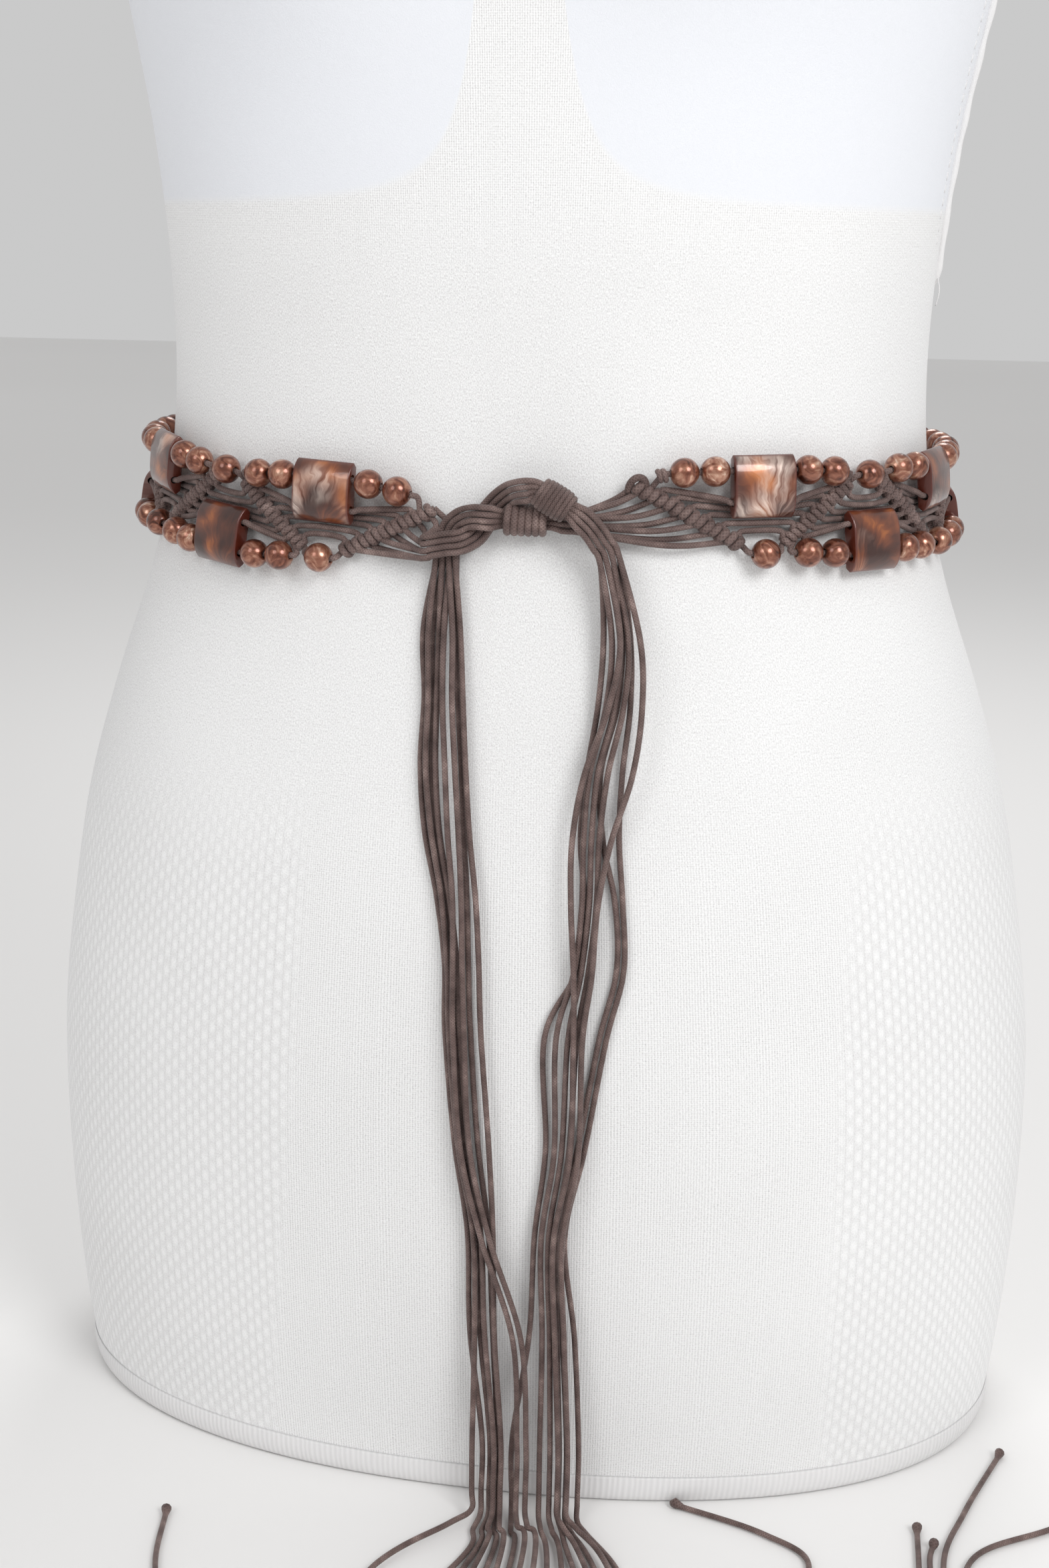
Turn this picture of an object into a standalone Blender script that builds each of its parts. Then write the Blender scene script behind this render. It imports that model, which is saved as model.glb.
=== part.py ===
# Macrame belt on a dress form: a band of knotted cords with round beads and two-hole tiles,
# tied at the front of a limbless dress form that stands on a table.
# Metres, +Z up. The origin is the middle of the form's base and the form's front faces -Y.

import math

import bmesh
import bpy
from mathutils import Vector

MM = 0.001

# Sizes of the form
FORM_SEGMENTS = 36
ROUNDNESS = 2.25
# Columns of the table after the height: half the width, way to the front, way to the back
HALF_WIDTH, FRONT, BACK = 1, 2, 3
FORM_SECTIONS = (
    (0.000, 0.1778, 0.1085, 0.1130),
    (0.010, 0.1808, 0.1105, 0.1160),
    (0.050, 0.1850, 0.1140, 0.1220),
    (0.100, 0.1873, 0.1170, 0.1300),
    (0.150, 0.1863, 0.1190, 0.1330),
    (0.200, 0.1798, 0.1190, 0.1280),
    (0.240, 0.1723, 0.1172, 0.1190),
    (0.280, 0.1603, 0.1136, 0.1090),
    (0.320, 0.1463, 0.1088, 0.1000),
    (0.350, 0.1390, 0.1050, 0.0948),
    (0.390, 0.1354, 0.1024, 0.0918),
    (0.430, 0.1366, 0.1025, 0.0935),
    (0.470, 0.1408, 0.1045, 0.0985),
    (0.510, 0.1478, 0.1060, 0.1035),
    (0.560, 0.1578, 0.1060, 0.1080),
    (0.610, 0.1690, 0.1030, 0.1110),
    (0.650, 0.1740, 0.0970, 0.1090),
    (0.685, 0.1690, 0.0880, 0.1010),
    (0.710, 0.1450, 0.0780, 0.0890),
    (0.730, 0.1080, 0.0690, 0.0760),
    (0.748, 0.0760, 0.0610, 0.0650),
    (0.770, 0.0600, 0.0560, 0.0580),
    (0.800, 0.0560, 0.0540, 0.0550),
    (0.816, 0.0530, 0.0510, 0.0520),
    (0.822, 0.0460, 0.0440, 0.0450),
)
FACET_HEIGHT = 0.25
FORM_ROWS = (0.0, 0.010, 0.100, 0.200, 0.250, 0.290, 0.314, 0.334, 0.354, 0.378, 0.415, 0.460,
             0.505, 0.545, 0.585, 0.635, 0.682, 0.712, 0.735, 0.760, 0.812, 0.822)
BUST_DEPTH = 0.036
BUST_SIDE = 0.078
BUST_HEIGHT = 0.578
BUST_SPREAD = 0.056
BUST_RISE = 0.056

# The hem band of the form's cover
HEM_TOP = 0.0096
HEM_BOTTOM = 0.0006
HEM_GAP = 0.0005
HEM_THICKNESS = 0.0012

# The belt's run round the form
BAND_HEIGHT = 0.3527
BAND_LEAN = 0.03
# How far the band sags along its run from the tie, in millimetres: run, sag
BAND_SAG = (
    (-420.0, 0.0), (-180.0, 0.0), (-150.0, 1.0), (-130.0, 3.2), (-112.0, 4.8), (-92.0, 4.4),
    (-75.0, 3.8), (-60.0, 5.5), (-46.0, 8.0), (-37.0, 9.5), (-10.0, 5.0), (29.0, 0.5), (50.0, -1.0),
    (90.0, -1.0), (112.0, 1.5), (130.0, 0.3), (150.0, 1.0), (180.0, 0.0), (420.0, 0.0),
)
TIE_HEIGHT = 0.357
TIE_ANGLE = math.radians(9.0)
PATH_START = math.radians(5.2)
PATH_STEPS = 720
BEAD_LINE = 6.0
FIRST_ZONE = 71.0
LAST_ZONE = 75.0
ZONES = 17
BARS = ZONES + 1
FIRST_BAR_START = 29.0
LAST_BAR_END = 36.8

# Beads and tiles, in millimetres
BEAD_RADIUS = 4.9
BEAD_ROW = 13.5
TILE_LENGTH = 21.0
TILE_CENTRE = 8.35
TILE_HOLE = 5.15
TILE_BACK = 2.5
TILE_REACH = 9.5
FRAME_REACH = 8.0
SECOND_REACH = 2.0
SECOND_DROP = 0.4
SECOND_SINK = 0.3
TILE_PROFILE = (
    (-8.8, -2.6), (8.8, -2.6), (10.25, -0.8), (9.2, 1.3), (4.5, 2.7), (-4.5, 2.7), (-9.2, 1.3),
    (-10.25, -0.8),
)
NEAR_BEAD = TILE_LENGTH / 2 + 0.8 + BEAD_RADIUS
FAR_BEAD = NEAR_BEAD + 2 * BEAD_RADIUS + 0.3
BEAD_RINGS = ((-0.98, 0.204), (-0.70, 0.71), (0.0, 1.0), (0.70, 0.71), (0.98, 0.204))

# Knotted bars and cords, in millimetres
CORD_RADIUS = 1.0
ZONE_CORD_RADIUS = 1.1
CORD_SIDES = 3
BEAD_SIDES = 6
BAR_SIDES = 5
BAR_END_GAP = 7.2
BAR_HALF_HEIGHT = 10.5
BAR_OUT = 3.2
KNOTS = 7
KNOT_RADIUS = 2.25
NECK_RADIUS = 1.75
BAR_TIP_RADIUS = 1.5
SEAM = 1.3
ROOT_BACK = 0.55
ROOT_SHIFT = 0.17
# Where each working cord passes the middle of a gap: rise and way out
ZONE_CORDS = (
    (1.4, 1.7),
    (-0.9, 1.7),
    (-3.7, 3.0),
    (-5.8, 3.2),
    (-7.9, 2.9),
)
FIRST_ZONE_CORD = 2
# How an edge cord comes off the first bar and goes into the last: run, rise and way out
FIRST_ROW_START = ((33.2, 12.4, 3.6), (36.5, 13.2, 4.8))
LAST_ROW_END = ((-9.5, 13.2, 4.8), (-5.0, 12.4, 3.6))
ROW_OVERRUN = 1.4
ROW_RISE = 13.0
ROW_OUT = 5.5
# How the leader cord leaves a bar for its bead
LEADER_RUN = 0.6
LEADER_RISE = 0.75
LEADER_OUT = 0.7

# The half knot at the front, in millimetres: run along the belt, height on the band, way out
BUNDLE_RADIUS = 2.7
BUNDLE_SIDES = 6
FAN_GAP = 2.2
FAN_PARTS = 2
FAN_SHIFT = 0.8
RIGHT_FAN_RUN = 0.45
RIGHT_FAN_RISE = 0.40
RIGHT_FAN_DIP = 1.5
RIGHT_FAN_STEP = 0.15
RIGHT_FAN_OUT = 2.4
LEFT_FAN_REACH = 3.5
LEFT_FAN_RUN = 0.35
LEFT_FAN_RISE = 0.55
LEFT_FAN_OUT = 2.6
WRAP_INSET = 0.015
WRAP_GROOVE = 0.5
RIGHT_WRAP_RADIUS = 5.5
RIGHT_WRAP_TURNS = 6
LEFT_WRAP_RADIUS = 4.7
LEFT_WRAP_TURNS = 8
RIGHT_LEAD = ((10.5, -6.0, 6.3), (5.5, -5.8, 6.3))
RIGHT_WRAP = ((2.4, -5.7, 6.3), (-13.9, -5.7, 6.3))
RIGHT_DROP = ((-16.5, -5.6, 8.3), (-19.5, -5.4, 9.4), (-23.0, -5.4, 8.4), (-27.0, -6.6, 6.2),
              (-30.3, -9.5, 4.2), (-31.5, -14.0, 3.6), (-32.0, -19.0, 3.6))
LEFT_LEAD = ((-36.5, -15.6, 9.0), (-31.3, -14.4, 9.5), (-26.5, -13.6, 8.2),
             (-23.0, -11.3, 5.2), (-20.5, -8.0, 3.6), (-19.4, -4.0, 3.4), (-18.4, 0.8, 4.4),
             (-14.2, 5.4, 7.4), (-9.5, 7.9, 10.2), (-5.3, 7.7, 12.2))
LEFT_WRAP = ((-2.6, 5.9, 12.8), (8.6, -0.9, 12.8))
LEFT_DROP = ((11.8, -3.4, 12.9), (15.0, -7.2, 12.2), (18.0, -12.0, 10.8), (20.0, -17.0, 9.4))

# Tails, in millimetres, seen square on to the tie
STRANDS = 8
STRAND_SIDES = 3
STRAND_RADIUS = 1.1
LAYER_STEP = 2.3
TABLE_CLEAR = 0.3
# Height, then the side of each of the eight strands at that height
LEFT_TAIL = (
    (315.0, -39.8, -38.0, -36.7, -34.5, -32.8, -30.1, -28.9, -27.6),
    (293.0, -39.3, -37.9, -36.4, -35.0, -33.1, -30.0, -28.2, -26.5),
    (271.0, -40.4, -38.6, -36.9, -35.3, -32.1, -28.8, -26.9, -25.4),
    (249.0, -38.9, -36.6, -35.3, -33.8, -31.0, -27.4, -25.8, -23.9),
    (227.0, -34.7, -33.0, -31.7, -30.2, -29.2, -26.3, -24.6, -21.6),
    (204.0, -31.9, -30.9, -29.2, -27.6, -29.0, -25.8, -23.9, -20.3),
    (180.0, -31.6, -30.2, -28.2, -26.4, -28.8, -25.0, -23.0, -19.4),
    (140.0, -28.2, -26.9, -24.9, -23.3, -26.1, -22.9, -20.2, -16.4),
    (107.0, -23.5, -21.5, -20.6, -18.8, -18.7, -15.8, -16.2, -14.6),
    (70.0, -22.4, -20.7, -18.9, -17.2, -7.4, -4.5, -14.4, -13.8),
    (30.0, -17.9, -21.2, -15.1, -13.7, -5.4, -2.2, -12.4, -11.1),
)
RIGHT_TAIL = (
    (315.0, 18.7, 21.3, 23.9, 23.9, 26.5, 24.7, 27.3, 30.3),
    (293.0, 17.4, 19.9, 20.5, 22.5, 25.5, 23.6, 27.8, 31.4),
    (271.0, 14.3, 15.1, 13.3, 17.7, 21.0, 18.7, 25.8, 28.8),
    (249.0, 12.6, 13.5, 9.8, 16.1, 18.7, 19.8, 25.2, 22.4),
    (227.0, 14.3, 13.4, 9.8, 15.8, 18.2, 24.4, 26.9, 18.5),
    (204.0, 12.2, 11.2, 11.1, 13.6, 16.0, 25.3, 27.7, 17.1),
    (180.0, 1.9, 5.7, 11.5, 9.7, 12.6, 20.1, 22.5, 14.4),
    (140.0, 2.9, 5.8, 11.1, 8.3, 10.8, 13.6, 16.1, 13.9),
    (107.0, -0.4, 1.9, 6.0, 4.4, 7.0, 7.4, 10.0, 9.0),
    (70.0, -1.7, 2.8, 7.2, 5.4, 8.0, 9.8, 14.0, 10.4),
    (30.0, -7.0, 2.6, 9.0, 6.2, 9.4, 12.0, 16.2, 12.3),
)
# Which layer each strand runs in, from the form outwards
LEFT_LAYERS = (0, 1, 0, 1, 2, 2, 0, 1)
RIGHT_LAYERS = (0, 1, 2, 1, 1, 0, 0, 2)
STRAND_REST = 1.7
RIGHT_LOFT = 6.0
LOFT_LOW = 250.0
LOFT_HIGH = 336.0
BELLY_HEIGHT = 175.0
# How the strands leave the bundle, inside its end and past it
ROOT_DEPTH = 1.3
ROOT_REACH = 3.4
ROOT_SPREAD = 0.27
ROOT_RISE = 0.9
EDGE_SPREAD = 0.86
# How each strand turns out over the table
FOOT_REACH = 6.3
FOOT_START = 1.5
FOOT_RISE = 0.9
FOOT_SHARE = 0.25
SETTLED = 0.5
TIP_RADIUS = 2.0
TIP_BACK = 3.0
# Where each strand runs on the table, in millimetres: side and way to the front
LEFT_RUNS = (
    ((-26.5, 157.0), (-84.0, 246.0), (-140.0, 300.0)),
    ((-52.0, 157.0), (-76.0, 204.0), (-115.0, 198.0), (-127.0, 160.0), (-129.0, 125.0)),
    ((-22.6, 157.0), (-71.0, 272.0), (-112.0, 338.0)),
    ((-18.7, 157.0), (-59.0, 285.0), (-86.0, 352.0)),
    ((-3.2, 157.0), (-24.0, 294.0), (-22.0, 364.0)),
    ((1.2, 157.0), (-13.0, 294.0), (-8.0, 352.0)),
    ((-14.9, 157.0), (-47.0, 290.0), (-60.0, 360.0)),
    ((-11.1, 157.0), (-35.0, 292.0), (-38.0, 350.0)),
)
RIGHT_RUNS = (
    ((-7.2, 157.0), (-29.5, 293.0), (-30.0, 354.0)),
    ((5.6, 157.0), (3.0, 240.0), (8.0, 336.0)),
    ((18.1, 157.0), (36.0, 235.0), (95.0, 246.0), (139.0, 205.0), (141.0, 152.0), (154.3, 118.5),
     (175.0, 79.0)),
    ((10.5, 157.0), (12.0, 250.0), (22.0, 345.0)),
    ((14.3, 157.0), (34.0, 245.0), (95.0, 258.0), (147.0, 212.0), (149.0, 152.0), (181.0, 129.0),
     (222.0, 112.0)),
    ((21.9, 157.0), (38.0, 225.0), (95.0, 234.0), (133.0, 198.0), (136.4, 152.0), (140.4, 137.2)),
    ((29.5, 157.0), (38.0, 192.0), (76.0, 190.0), (95.0, 153.0), (81.0, 134.0), (50.0, 116.5)),
    ((25.7, 157.0), (40.0, 215.0), (95.0, 222.0), (127.0, 190.0), (132.6, 152.0), (135.8, 127.7)),
)

MATERIALS = {
    "jersey": ((0.80, 0.81, 0.83), 0.90),
    "cord": ((0.13, 0.085, 0.070), 0.75),
    "bead": ((0.30, 0.12, 0.06), 0.25),
}


# Helpers

def clear_scene():
    for item in list(bpy.data.objects):
        bpy.data.objects.remove(item, do_unlink=True)


def make_collection(name):
    group = bpy.data.collections.new(name)
    bpy.context.scene.collection.children.link(group)
    return group


def make_materials():
    made = {}
    for name, (colour, roughness) in MATERIALS.items():
        material = bpy.data.materials.new(name)
        material.use_nodes = True
        shader = material.node_tree.nodes["Principled BSDF"]
        shader.inputs["Base Color"].default_value = (*colour, 1.0)
        shader.inputs["Roughness"].default_value = roughness
        shader.inputs["Metallic"].default_value = 0.0
        made[name] = material
    return made


def smooth_value(table, place, column):
    """Read a column of a table at a place between its rows, on a smooth curve."""
    rows = sorted(table)
    place = min(max(place, rows[0][0]), rows[-1][0])
    index = 0
    while index < len(rows) - 2 and place > rows[index + 1][0]:
        index += 1
    low, high = rows[index], rows[index + 1]
    span = high[0] - low[0]
    step = (place - low[0]) / span
    slope_low = (high[column] - low[column]) / span
    slope_high = slope_low
    if index > 0:
        before = rows[index - 1]
        slope_low = (high[column] - before[column]) / (high[0] - before[0])
    if index < len(rows) - 2:
        after = rows[index + 2]
        slope_high = (after[column] - low[column]) / (after[0] - low[0])
    square, cube = step * step, step * step * step
    return ((2 * cube - 3 * square + 1) * low[column]
            + (cube - 2 * square + step) * span * slope_low
            + (3 * square - 2 * cube) * high[column]
            + (cube - square) * span * slope_high)


def rounded(value):
    """A signed power that squares the oval off a little."""
    return math.copysign(abs(value) ** (2 / ROUNDNESS), value)


def form_point(angle, height):
    """A point on the form. Angle 0 is the front and grows towards +X."""
    across = rounded(math.sin(angle))
    along = rounded(math.cos(angle))
    side = smooth_value(FORM_SECTIONS, height, HALF_WIDTH) * across
    column = FRONT if along > 0 else BACK
    depth = smooth_value(FORM_SECTIONS, height, column) * along
    if along > 0:
        lift = ((height - BUST_HEIGHT) / BUST_RISE) ** 2
        left = math.exp(-((side + BUST_SIDE) / BUST_SPREAD) ** 2 - lift)
        right = math.exp(-((side - BUST_SIDE) / BUST_SPREAD) ** 2 - lift)
        depth += BUST_DEPTH * (left + right) * along
    return Vector((side, -depth, height))


def form_normal(angle, height):
    """The way out of the form at a point."""
    turn, rise = 0.01, 0.002
    along = form_point(angle + turn, height) - form_point(angle - turn, height)
    up = form_point(angle, height + rise) - form_point(angle, height - rise)
    return along.cross(up).normalized()


def band_path():
    """Angles and lengths along the bead line, once round from the tie."""
    angles, lengths = [], []
    total = 0.0
    last = None
    for step in range(PATH_STEPS + 1):
        angle = PATH_START + 2 * math.pi * step / PATH_STEPS
        place = form_point(angle, BAND_HEIGHT) + form_normal(angle, BAND_HEIGHT) * BEAD_LINE * MM
        if last is not None:
            total += (place - last).length
        last = place
        angles.append(angle)
        lengths.append(total)
    return angles, lengths


ANGLES, LENGTHS = band_path()
ROUND = LENGTHS[-1] / MM
PITCH = (ROUND - FIRST_ZONE - LAST_ZONE) / (ZONES - 1)


def angle_at(run):
    """The angle of the form at a run along the belt in millimetres."""
    turns = math.floor(run / ROUND)
    rest = (run - turns * ROUND) * MM
    low, high = 0, PATH_STEPS
    while high - low > 1:
        middle = (low + high) // 2
        if LENGTHS[middle] > rest:
            high = middle
        else:
            low = middle
    share = (rest - LENGTHS[low]) / (LENGTHS[high] - LENGTHS[low])
    return ANGLES[low] + share * (ANGLES[high] - ANGLES[low]) + turns * 2 * math.pi


def belt_point(run, rise, out):
    """A point of the belt: run along it, rise across it and way out of the form, in millimetres."""
    angle = angle_at(run)
    from_tie = (run + ROUND / 2) % ROUND - ROUND / 2
    height = BAND_HEIGHT + (rise - smooth_value(BAND_SAG, from_tie, 1)) * MM
    lean = BAND_LEAN * (rise + BEAD_ROW)
    return form_point(angle, height) + form_normal(angle, height) * (out + lean) * MM


def tie_point(run, rise, out):
    """A point of the tie: run from its middle, rise from its height and way out, in millimetres."""
    angle = angle_at(run)
    height = TIE_HEIGHT + rise * MM
    return form_point(angle, height) + form_normal(angle, height) * out * MM


def belt_frame(run, rise, out):
    """Axes of a rigid piece on the belt: along, up and out."""
    middle = belt_point(run, rise, out)
    along = belt_point(run + FRAME_REACH, rise, out) - belt_point(run - FRAME_REACH, rise, out)
    along.normalize()
    up = belt_point(run, rise + FRAME_REACH, out) - belt_point(run, rise - FRAME_REACH, out)
    up = (up - along * up.dot(along)).normalized()
    return middle, along, up, along.cross(up).normalized()


def smooth_path(points, parts):
    """Points on a smooth curve through the given ones."""
    ends = [points[0] * 2 - points[1]] + list(points) + [points[-1] * 2 - points[-2]]
    result = []
    for index in range(len(points) - 1):
        before, start, end, after = ends[index:index + 4]
        for part in range(parts):
            step = part / parts
            square, cube = step * step, step * step * step
            result.append((start * 2 + (end - before) * step
                           + (before * 2 - start * 5 + end * 4 - after) * square
                           + (start * 3 - before - end * 3 + after) * cube) * 0.5)
    result.append(points[-1])
    return result


def mesh_object(name, mesh, group):
    item = bpy.data.objects.new(name, mesh)
    group.objects.link(item)
    return item


def clean_mesh(mesh):
    work = bmesh.new()
    work.from_mesh(mesh)
    bmesh.ops.remove_doubles(work, verts=work.verts, dist=0.00001)
    bmesh.ops.recalc_face_normals(work, faces=work.faces)
    work.to_mesh(mesh)
    work.free()
    return mesh


def tube(name, points, radii, sides, group):
    """A solid tube along points in metres, with a radius in millimetres at each."""
    outline_data = bpy.data.curves.new(name + "_outline", "CURVE")
    outline_data.dimensions = "2D"
    ring = outline_data.splines.new("POLY")
    ring.points.add(sides - 1)
    for index, knot in enumerate(ring.points):
        turn = 2 * math.pi * index / sides
        knot.co = (math.cos(turn) * MM, math.sin(turn) * MM, 0.0, 1.0)
    ring.use_cyclic_u = True
    outline = bpy.data.objects.new(name + "_outline", outline_data)
    group.objects.link(outline)
    curve = bpy.data.curves.new(name + "_path", "CURVE")
    curve.dimensions = "3D"
    curve.bevel_mode = "OBJECT"
    curve.bevel_object = outline
    curve.use_fill_caps = True
    spline = curve.splines.new("POLY")
    spline.points.add(len(points) - 1)
    for knot, place, radius in zip(spline.points, points, radii):
        knot.co = (*place, 1.0)
        knot.radius = radius
    path = bpy.data.objects.new(name + "_path", curve)
    group.objects.link(path)
    bpy.context.view_layer.update()
    shape = path.evaluated_get(bpy.context.evaluated_depsgraph_get())
    mesh = bpy.data.meshes.new_from_object(shape)
    mesh.name = name
    bpy.data.objects.remove(path, do_unlink=True)
    bpy.data.objects.remove(outline, do_unlink=True)
    return mesh_object(name, clean_mesh(mesh), group)


def join_solids(body, extras):
    """Fuse extra solids into a body with an exact Boolean."""
    for extra in extras:
        union = body.modifiers.new("join", "BOOLEAN")
        union.operation = "UNION"
        union.solver = "EXACT"
        union.object = extra
        bpy.context.view_layer.update()
        shape = body.evaluated_get(bpy.context.evaluated_depsgraph_get())
        mesh = bpy.data.meshes.new_from_object(shape)
        body.modifiers.clear()
        old = body.data
        body.data = mesh
        bpy.data.meshes.remove(old)
        bpy.data.objects.remove(extra, do_unlink=True)
    clean_mesh(body.data)
    return body


def finish(item, material):
    item.data.materials.clear()
    item.data.materials.append(material)
    return item


# The form

def ring_rows(rows, closed_ends):
    """A mesh lofted through rows of points, capped or joined back to its first row."""
    mesh = bpy.data.meshes.new("loft")
    work = bmesh.new()
    made = [[work.verts.new(place) for place in row] for row in rows]
    count = len(rows[0])
    pairs = list(zip(made[:-1], made[1:]))
    if not closed_ends:
        pairs.append((made[-1], made[0]))
    for low, high in pairs:
        for index in range(count):
            after = (index + 1) % count
            work.faces.new((low[index], low[after], high[after], high[index]))
    if closed_ends:
        work.faces.new(list(reversed(made[0])))
        work.faces.new(made[-1])
    work.to_mesh(mesh)
    work.free()
    return clean_mesh(mesh)


def form_angles():
    """Angles that give the form's facets about equal lengths."""
    turns = [2 * math.pi * step / PATH_STEPS for step in range(PATH_STEPS + 1)]
    places = [form_point(turn, FACET_HEIGHT) for turn in turns]
    lengths = [0.0]
    for before, after in zip(places[:-1], places[1:]):
        lengths.append(lengths[-1] + (after - before).length)
    angles = []
    step = 0
    for index in range(FORM_SEGMENTS):
        wanted = lengths[-1] * index / FORM_SEGMENTS
        while lengths[step] < wanted:
            step += 1
        angles.append(turns[step])
    return angles


def make_form(group):
    angles = form_angles()
    rows = [[form_point(angle, height) for angle in angles] for height in FORM_ROWS]
    return mesh_object("dress_form", ring_rows(rows, True), group)


def make_hem(group):
    angles = form_angles()
    middle = (HEM_BOTTOM + HEM_TOP) / 2
    outer = HEM_GAP + HEM_THICKNESS
    corners = ((HEM_BOTTOM, HEM_GAP), (HEM_BOTTOM, outer), (HEM_TOP, outer), (HEM_TOP, HEM_GAP))
    rows = []
    for height, out in corners:
        row = []
        for angle in angles:
            way = form_normal(angle, middle)
            way.z = 0.0
            row.append(form_point(angle, height) + way.normalized() * out)
        rows.append(row)
    return mesh_object("cover_hem_band", ring_rows(rows, False), group)


# The knotted bars and the cords between them

def zone_centre(zone):
    return FIRST_ZONE + (zone - 1) * PITCH


def zone_side(zone):
    """+1 where the tile hangs from the top row, -1 where it stands on the bottom row."""
    return 1 if zone % 2 else -1


def bar_ends(bar):
    """Start and end of a bar as run and rise."""
    if bar == 1:
        start = (FIRST_BAR_START, BAR_HALF_HEIGHT)
    else:
        start = (zone_centre(bar - 1) + BAR_END_GAP, -BAR_HALF_HEIGHT * zone_side(bar - 1))
    if bar == BARS:
        end = (ROUND - LAST_BAR_END, BAR_HALF_HEIGHT)
    else:
        end = (zone_centre(bar) - BAR_END_GAP, -BAR_HALF_HEIGHT * zone_side(bar))
    return start, end


def bar_run(bar, rise):
    """Run of a bar's middle line at a rise."""
    start, end = bar_ends(bar)
    return start[0] + (end[0] - start[0]) * (rise - start[1]) / (end[1] - start[1])


def bar_half_run(bar):
    """Half the width of a bar measured along the belt."""
    start, end = bar_ends(bar)
    length = math.hypot(end[0] - start[0], end[1] - start[1])
    return KNOT_RADIUS * length / abs(end[1] - start[1])


def knot_rise(index):
    return BAR_HALF_HEIGHT * (1 - (2 * index + 1) / KNOTS)


def make_bar(bar, group):
    """A leader cord wrapped with a row of double half hitches."""
    start, end = bar_ends(bar)
    points, radii = [], []
    rings = 2 * KNOTS
    for index in range(rings + 1):
        share = index / rings
        run = start[0] + (end[0] - start[0]) * share
        rise = start[1] + (end[1] - start[1]) * share
        points.append(belt_point(run, rise, BAR_OUT))
        if index in (0, rings):
            radii.append(BAR_TIP_RADIUS)
        else:
            radii.append(KNOT_RADIUS if index % 2 else NECK_RADIUS)
    return tube(f"bar_section_{bar:02d}", points, radii, BAR_SIDES, group)


def zone_cord(zone, index, group):
    """One working cord from the middle of a bar to just short of the next bar."""
    side = zone_side(zone)
    middle, out = ZONE_CORDS[index]
    rise = knot_rise(index + FIRST_ZONE_CORD) * side
    start = bar_run(zone, rise)
    end = bar_run(zone + 1, rise) - bar_half_run(zone + 1) - SEAM
    centre = (start + bar_half_run(zone) + end) / 2
    points = [belt_point(start - ROOT_BACK, rise + ROOT_SHIFT, BAR_OUT)]
    if out < TILE_BACK:
        points.append(belt_point(centre - TILE_REACH, middle * side, out))
        points.append(belt_point(centre + TILE_REACH, middle * side, out))
    else:
        points.append(belt_point(centre, middle * side, out))
    points.append(belt_point(end, rise, BAR_OUT))
    return tube(f"cord_{zone}_{index}", points, [ZONE_CORD_RADIUS] * len(points), CORD_SIDES, group)


def make_section(bar, group):
    body = make_bar(bar, group)
    extras = []
    if bar <= ZONES:
        extras += [zone_cord(bar, index, group) for index in range(len(ZONE_CORDS))]
    if bar == 1:
        extras += right_fan(group)
    if bar == BARS:
        extras += left_fan(group)
    return join_solids(body, extras)


def fan_end(lead, number, gap):
    """Where a fan cord meets the bundle: two layers of four, just short of its end."""
    start = Vector(lead[0])
    way = (start - Vector(lead[1])).normalized()
    across = Vector((0.0, 1.0, 0.0))
    column = number // 2 - (STRANDS / 2 - 1) / 2
    layer = number % 2 - 0.5
    return start + way * gap + across * column * LAYER_STEP + Vector((0, 0, layer * LAYER_STEP))


def right_fan(group):
    """Eight cords from the first bar to the bundle of the right end's wrap."""
    made = []
    for number in range(STRANDS):
        end = fan_end(RIGHT_LEAD, STRANDS - 1 - number, FAN_GAP)
        if number == 0:
            rise, run = BAR_HALF_HEIGHT, FIRST_BAR_START + FAN_SHIFT
        else:
            rise = knot_rise(number - 1)
            run = bar_run(1, rise)
        start = belt_point(run, rise, BAR_OUT)
        drop = start.z / MM - TIE_HEIGHT / MM
        bend_run = run + (end.x - run) * RIGHT_FAN_RUN
        bend_rise = drop + (end.y - drop) * RIGHT_FAN_RISE - RIGHT_FAN_DIP - RIGHT_FAN_STEP * number
        bend = tie_point(bend_run, bend_rise, RIGHT_FAN_OUT + (number % 2) * LAYER_STEP)
        path = smooth_path([start, bend, tie_point(*end)], FAN_PARTS)
        made.append(tube(f"right_fan_{number}", path, [CORD_RADIUS] * len(path), CORD_SIDES, group))
    return made


def left_fan(group):
    """Eight cords from the last bar, sweeping low to the bundle of the left end."""
    made = []
    for number in range(STRANDS):
        end = fan_end(LEFT_LEAD, STRANDS - 1 - number, FAN_GAP)
        if number == 0:
            rise, run = BAR_HALF_HEIGHT, -LAST_BAR_END - FAN_SHIFT
        else:
            rise = knot_rise(number - 1)
            run = bar_run(BARS, rise) - ROUND
        start = belt_point(run, rise, BAR_OUT)
        drop = start.z / MM - TIE_HEIGHT / MM
        reach = max(LEFT_FAN_REACH, LEFT_FAN_RUN * (end.x - run))
        bend_rise = drop + (end.y - drop) * LEFT_FAN_RISE
        bend = tie_point(run + reach, bend_rise, LEFT_FAN_OUT + (number % 2) * LAYER_STEP)
        path = smooth_path([start, bend, tie_point(*end)], FAN_PARTS)
        made.append(tube(f"left_fan_{number}", path, [CORD_RADIUS] * len(path), CORD_SIDES, group))
    return made


# Beads and tiles

def bead_path(centre, side, out):
    """Rings of one round bead on the belt, as points and radii."""
    points, radii = [], []
    for along, wide in BEAD_RINGS:
        points.append(belt_point(centre + along * BEAD_RADIUS, BEAD_ROW * side, out))
        radii.append(max(wide * BEAD_RADIUS, CORD_RADIUS))
    return points, radii


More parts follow.
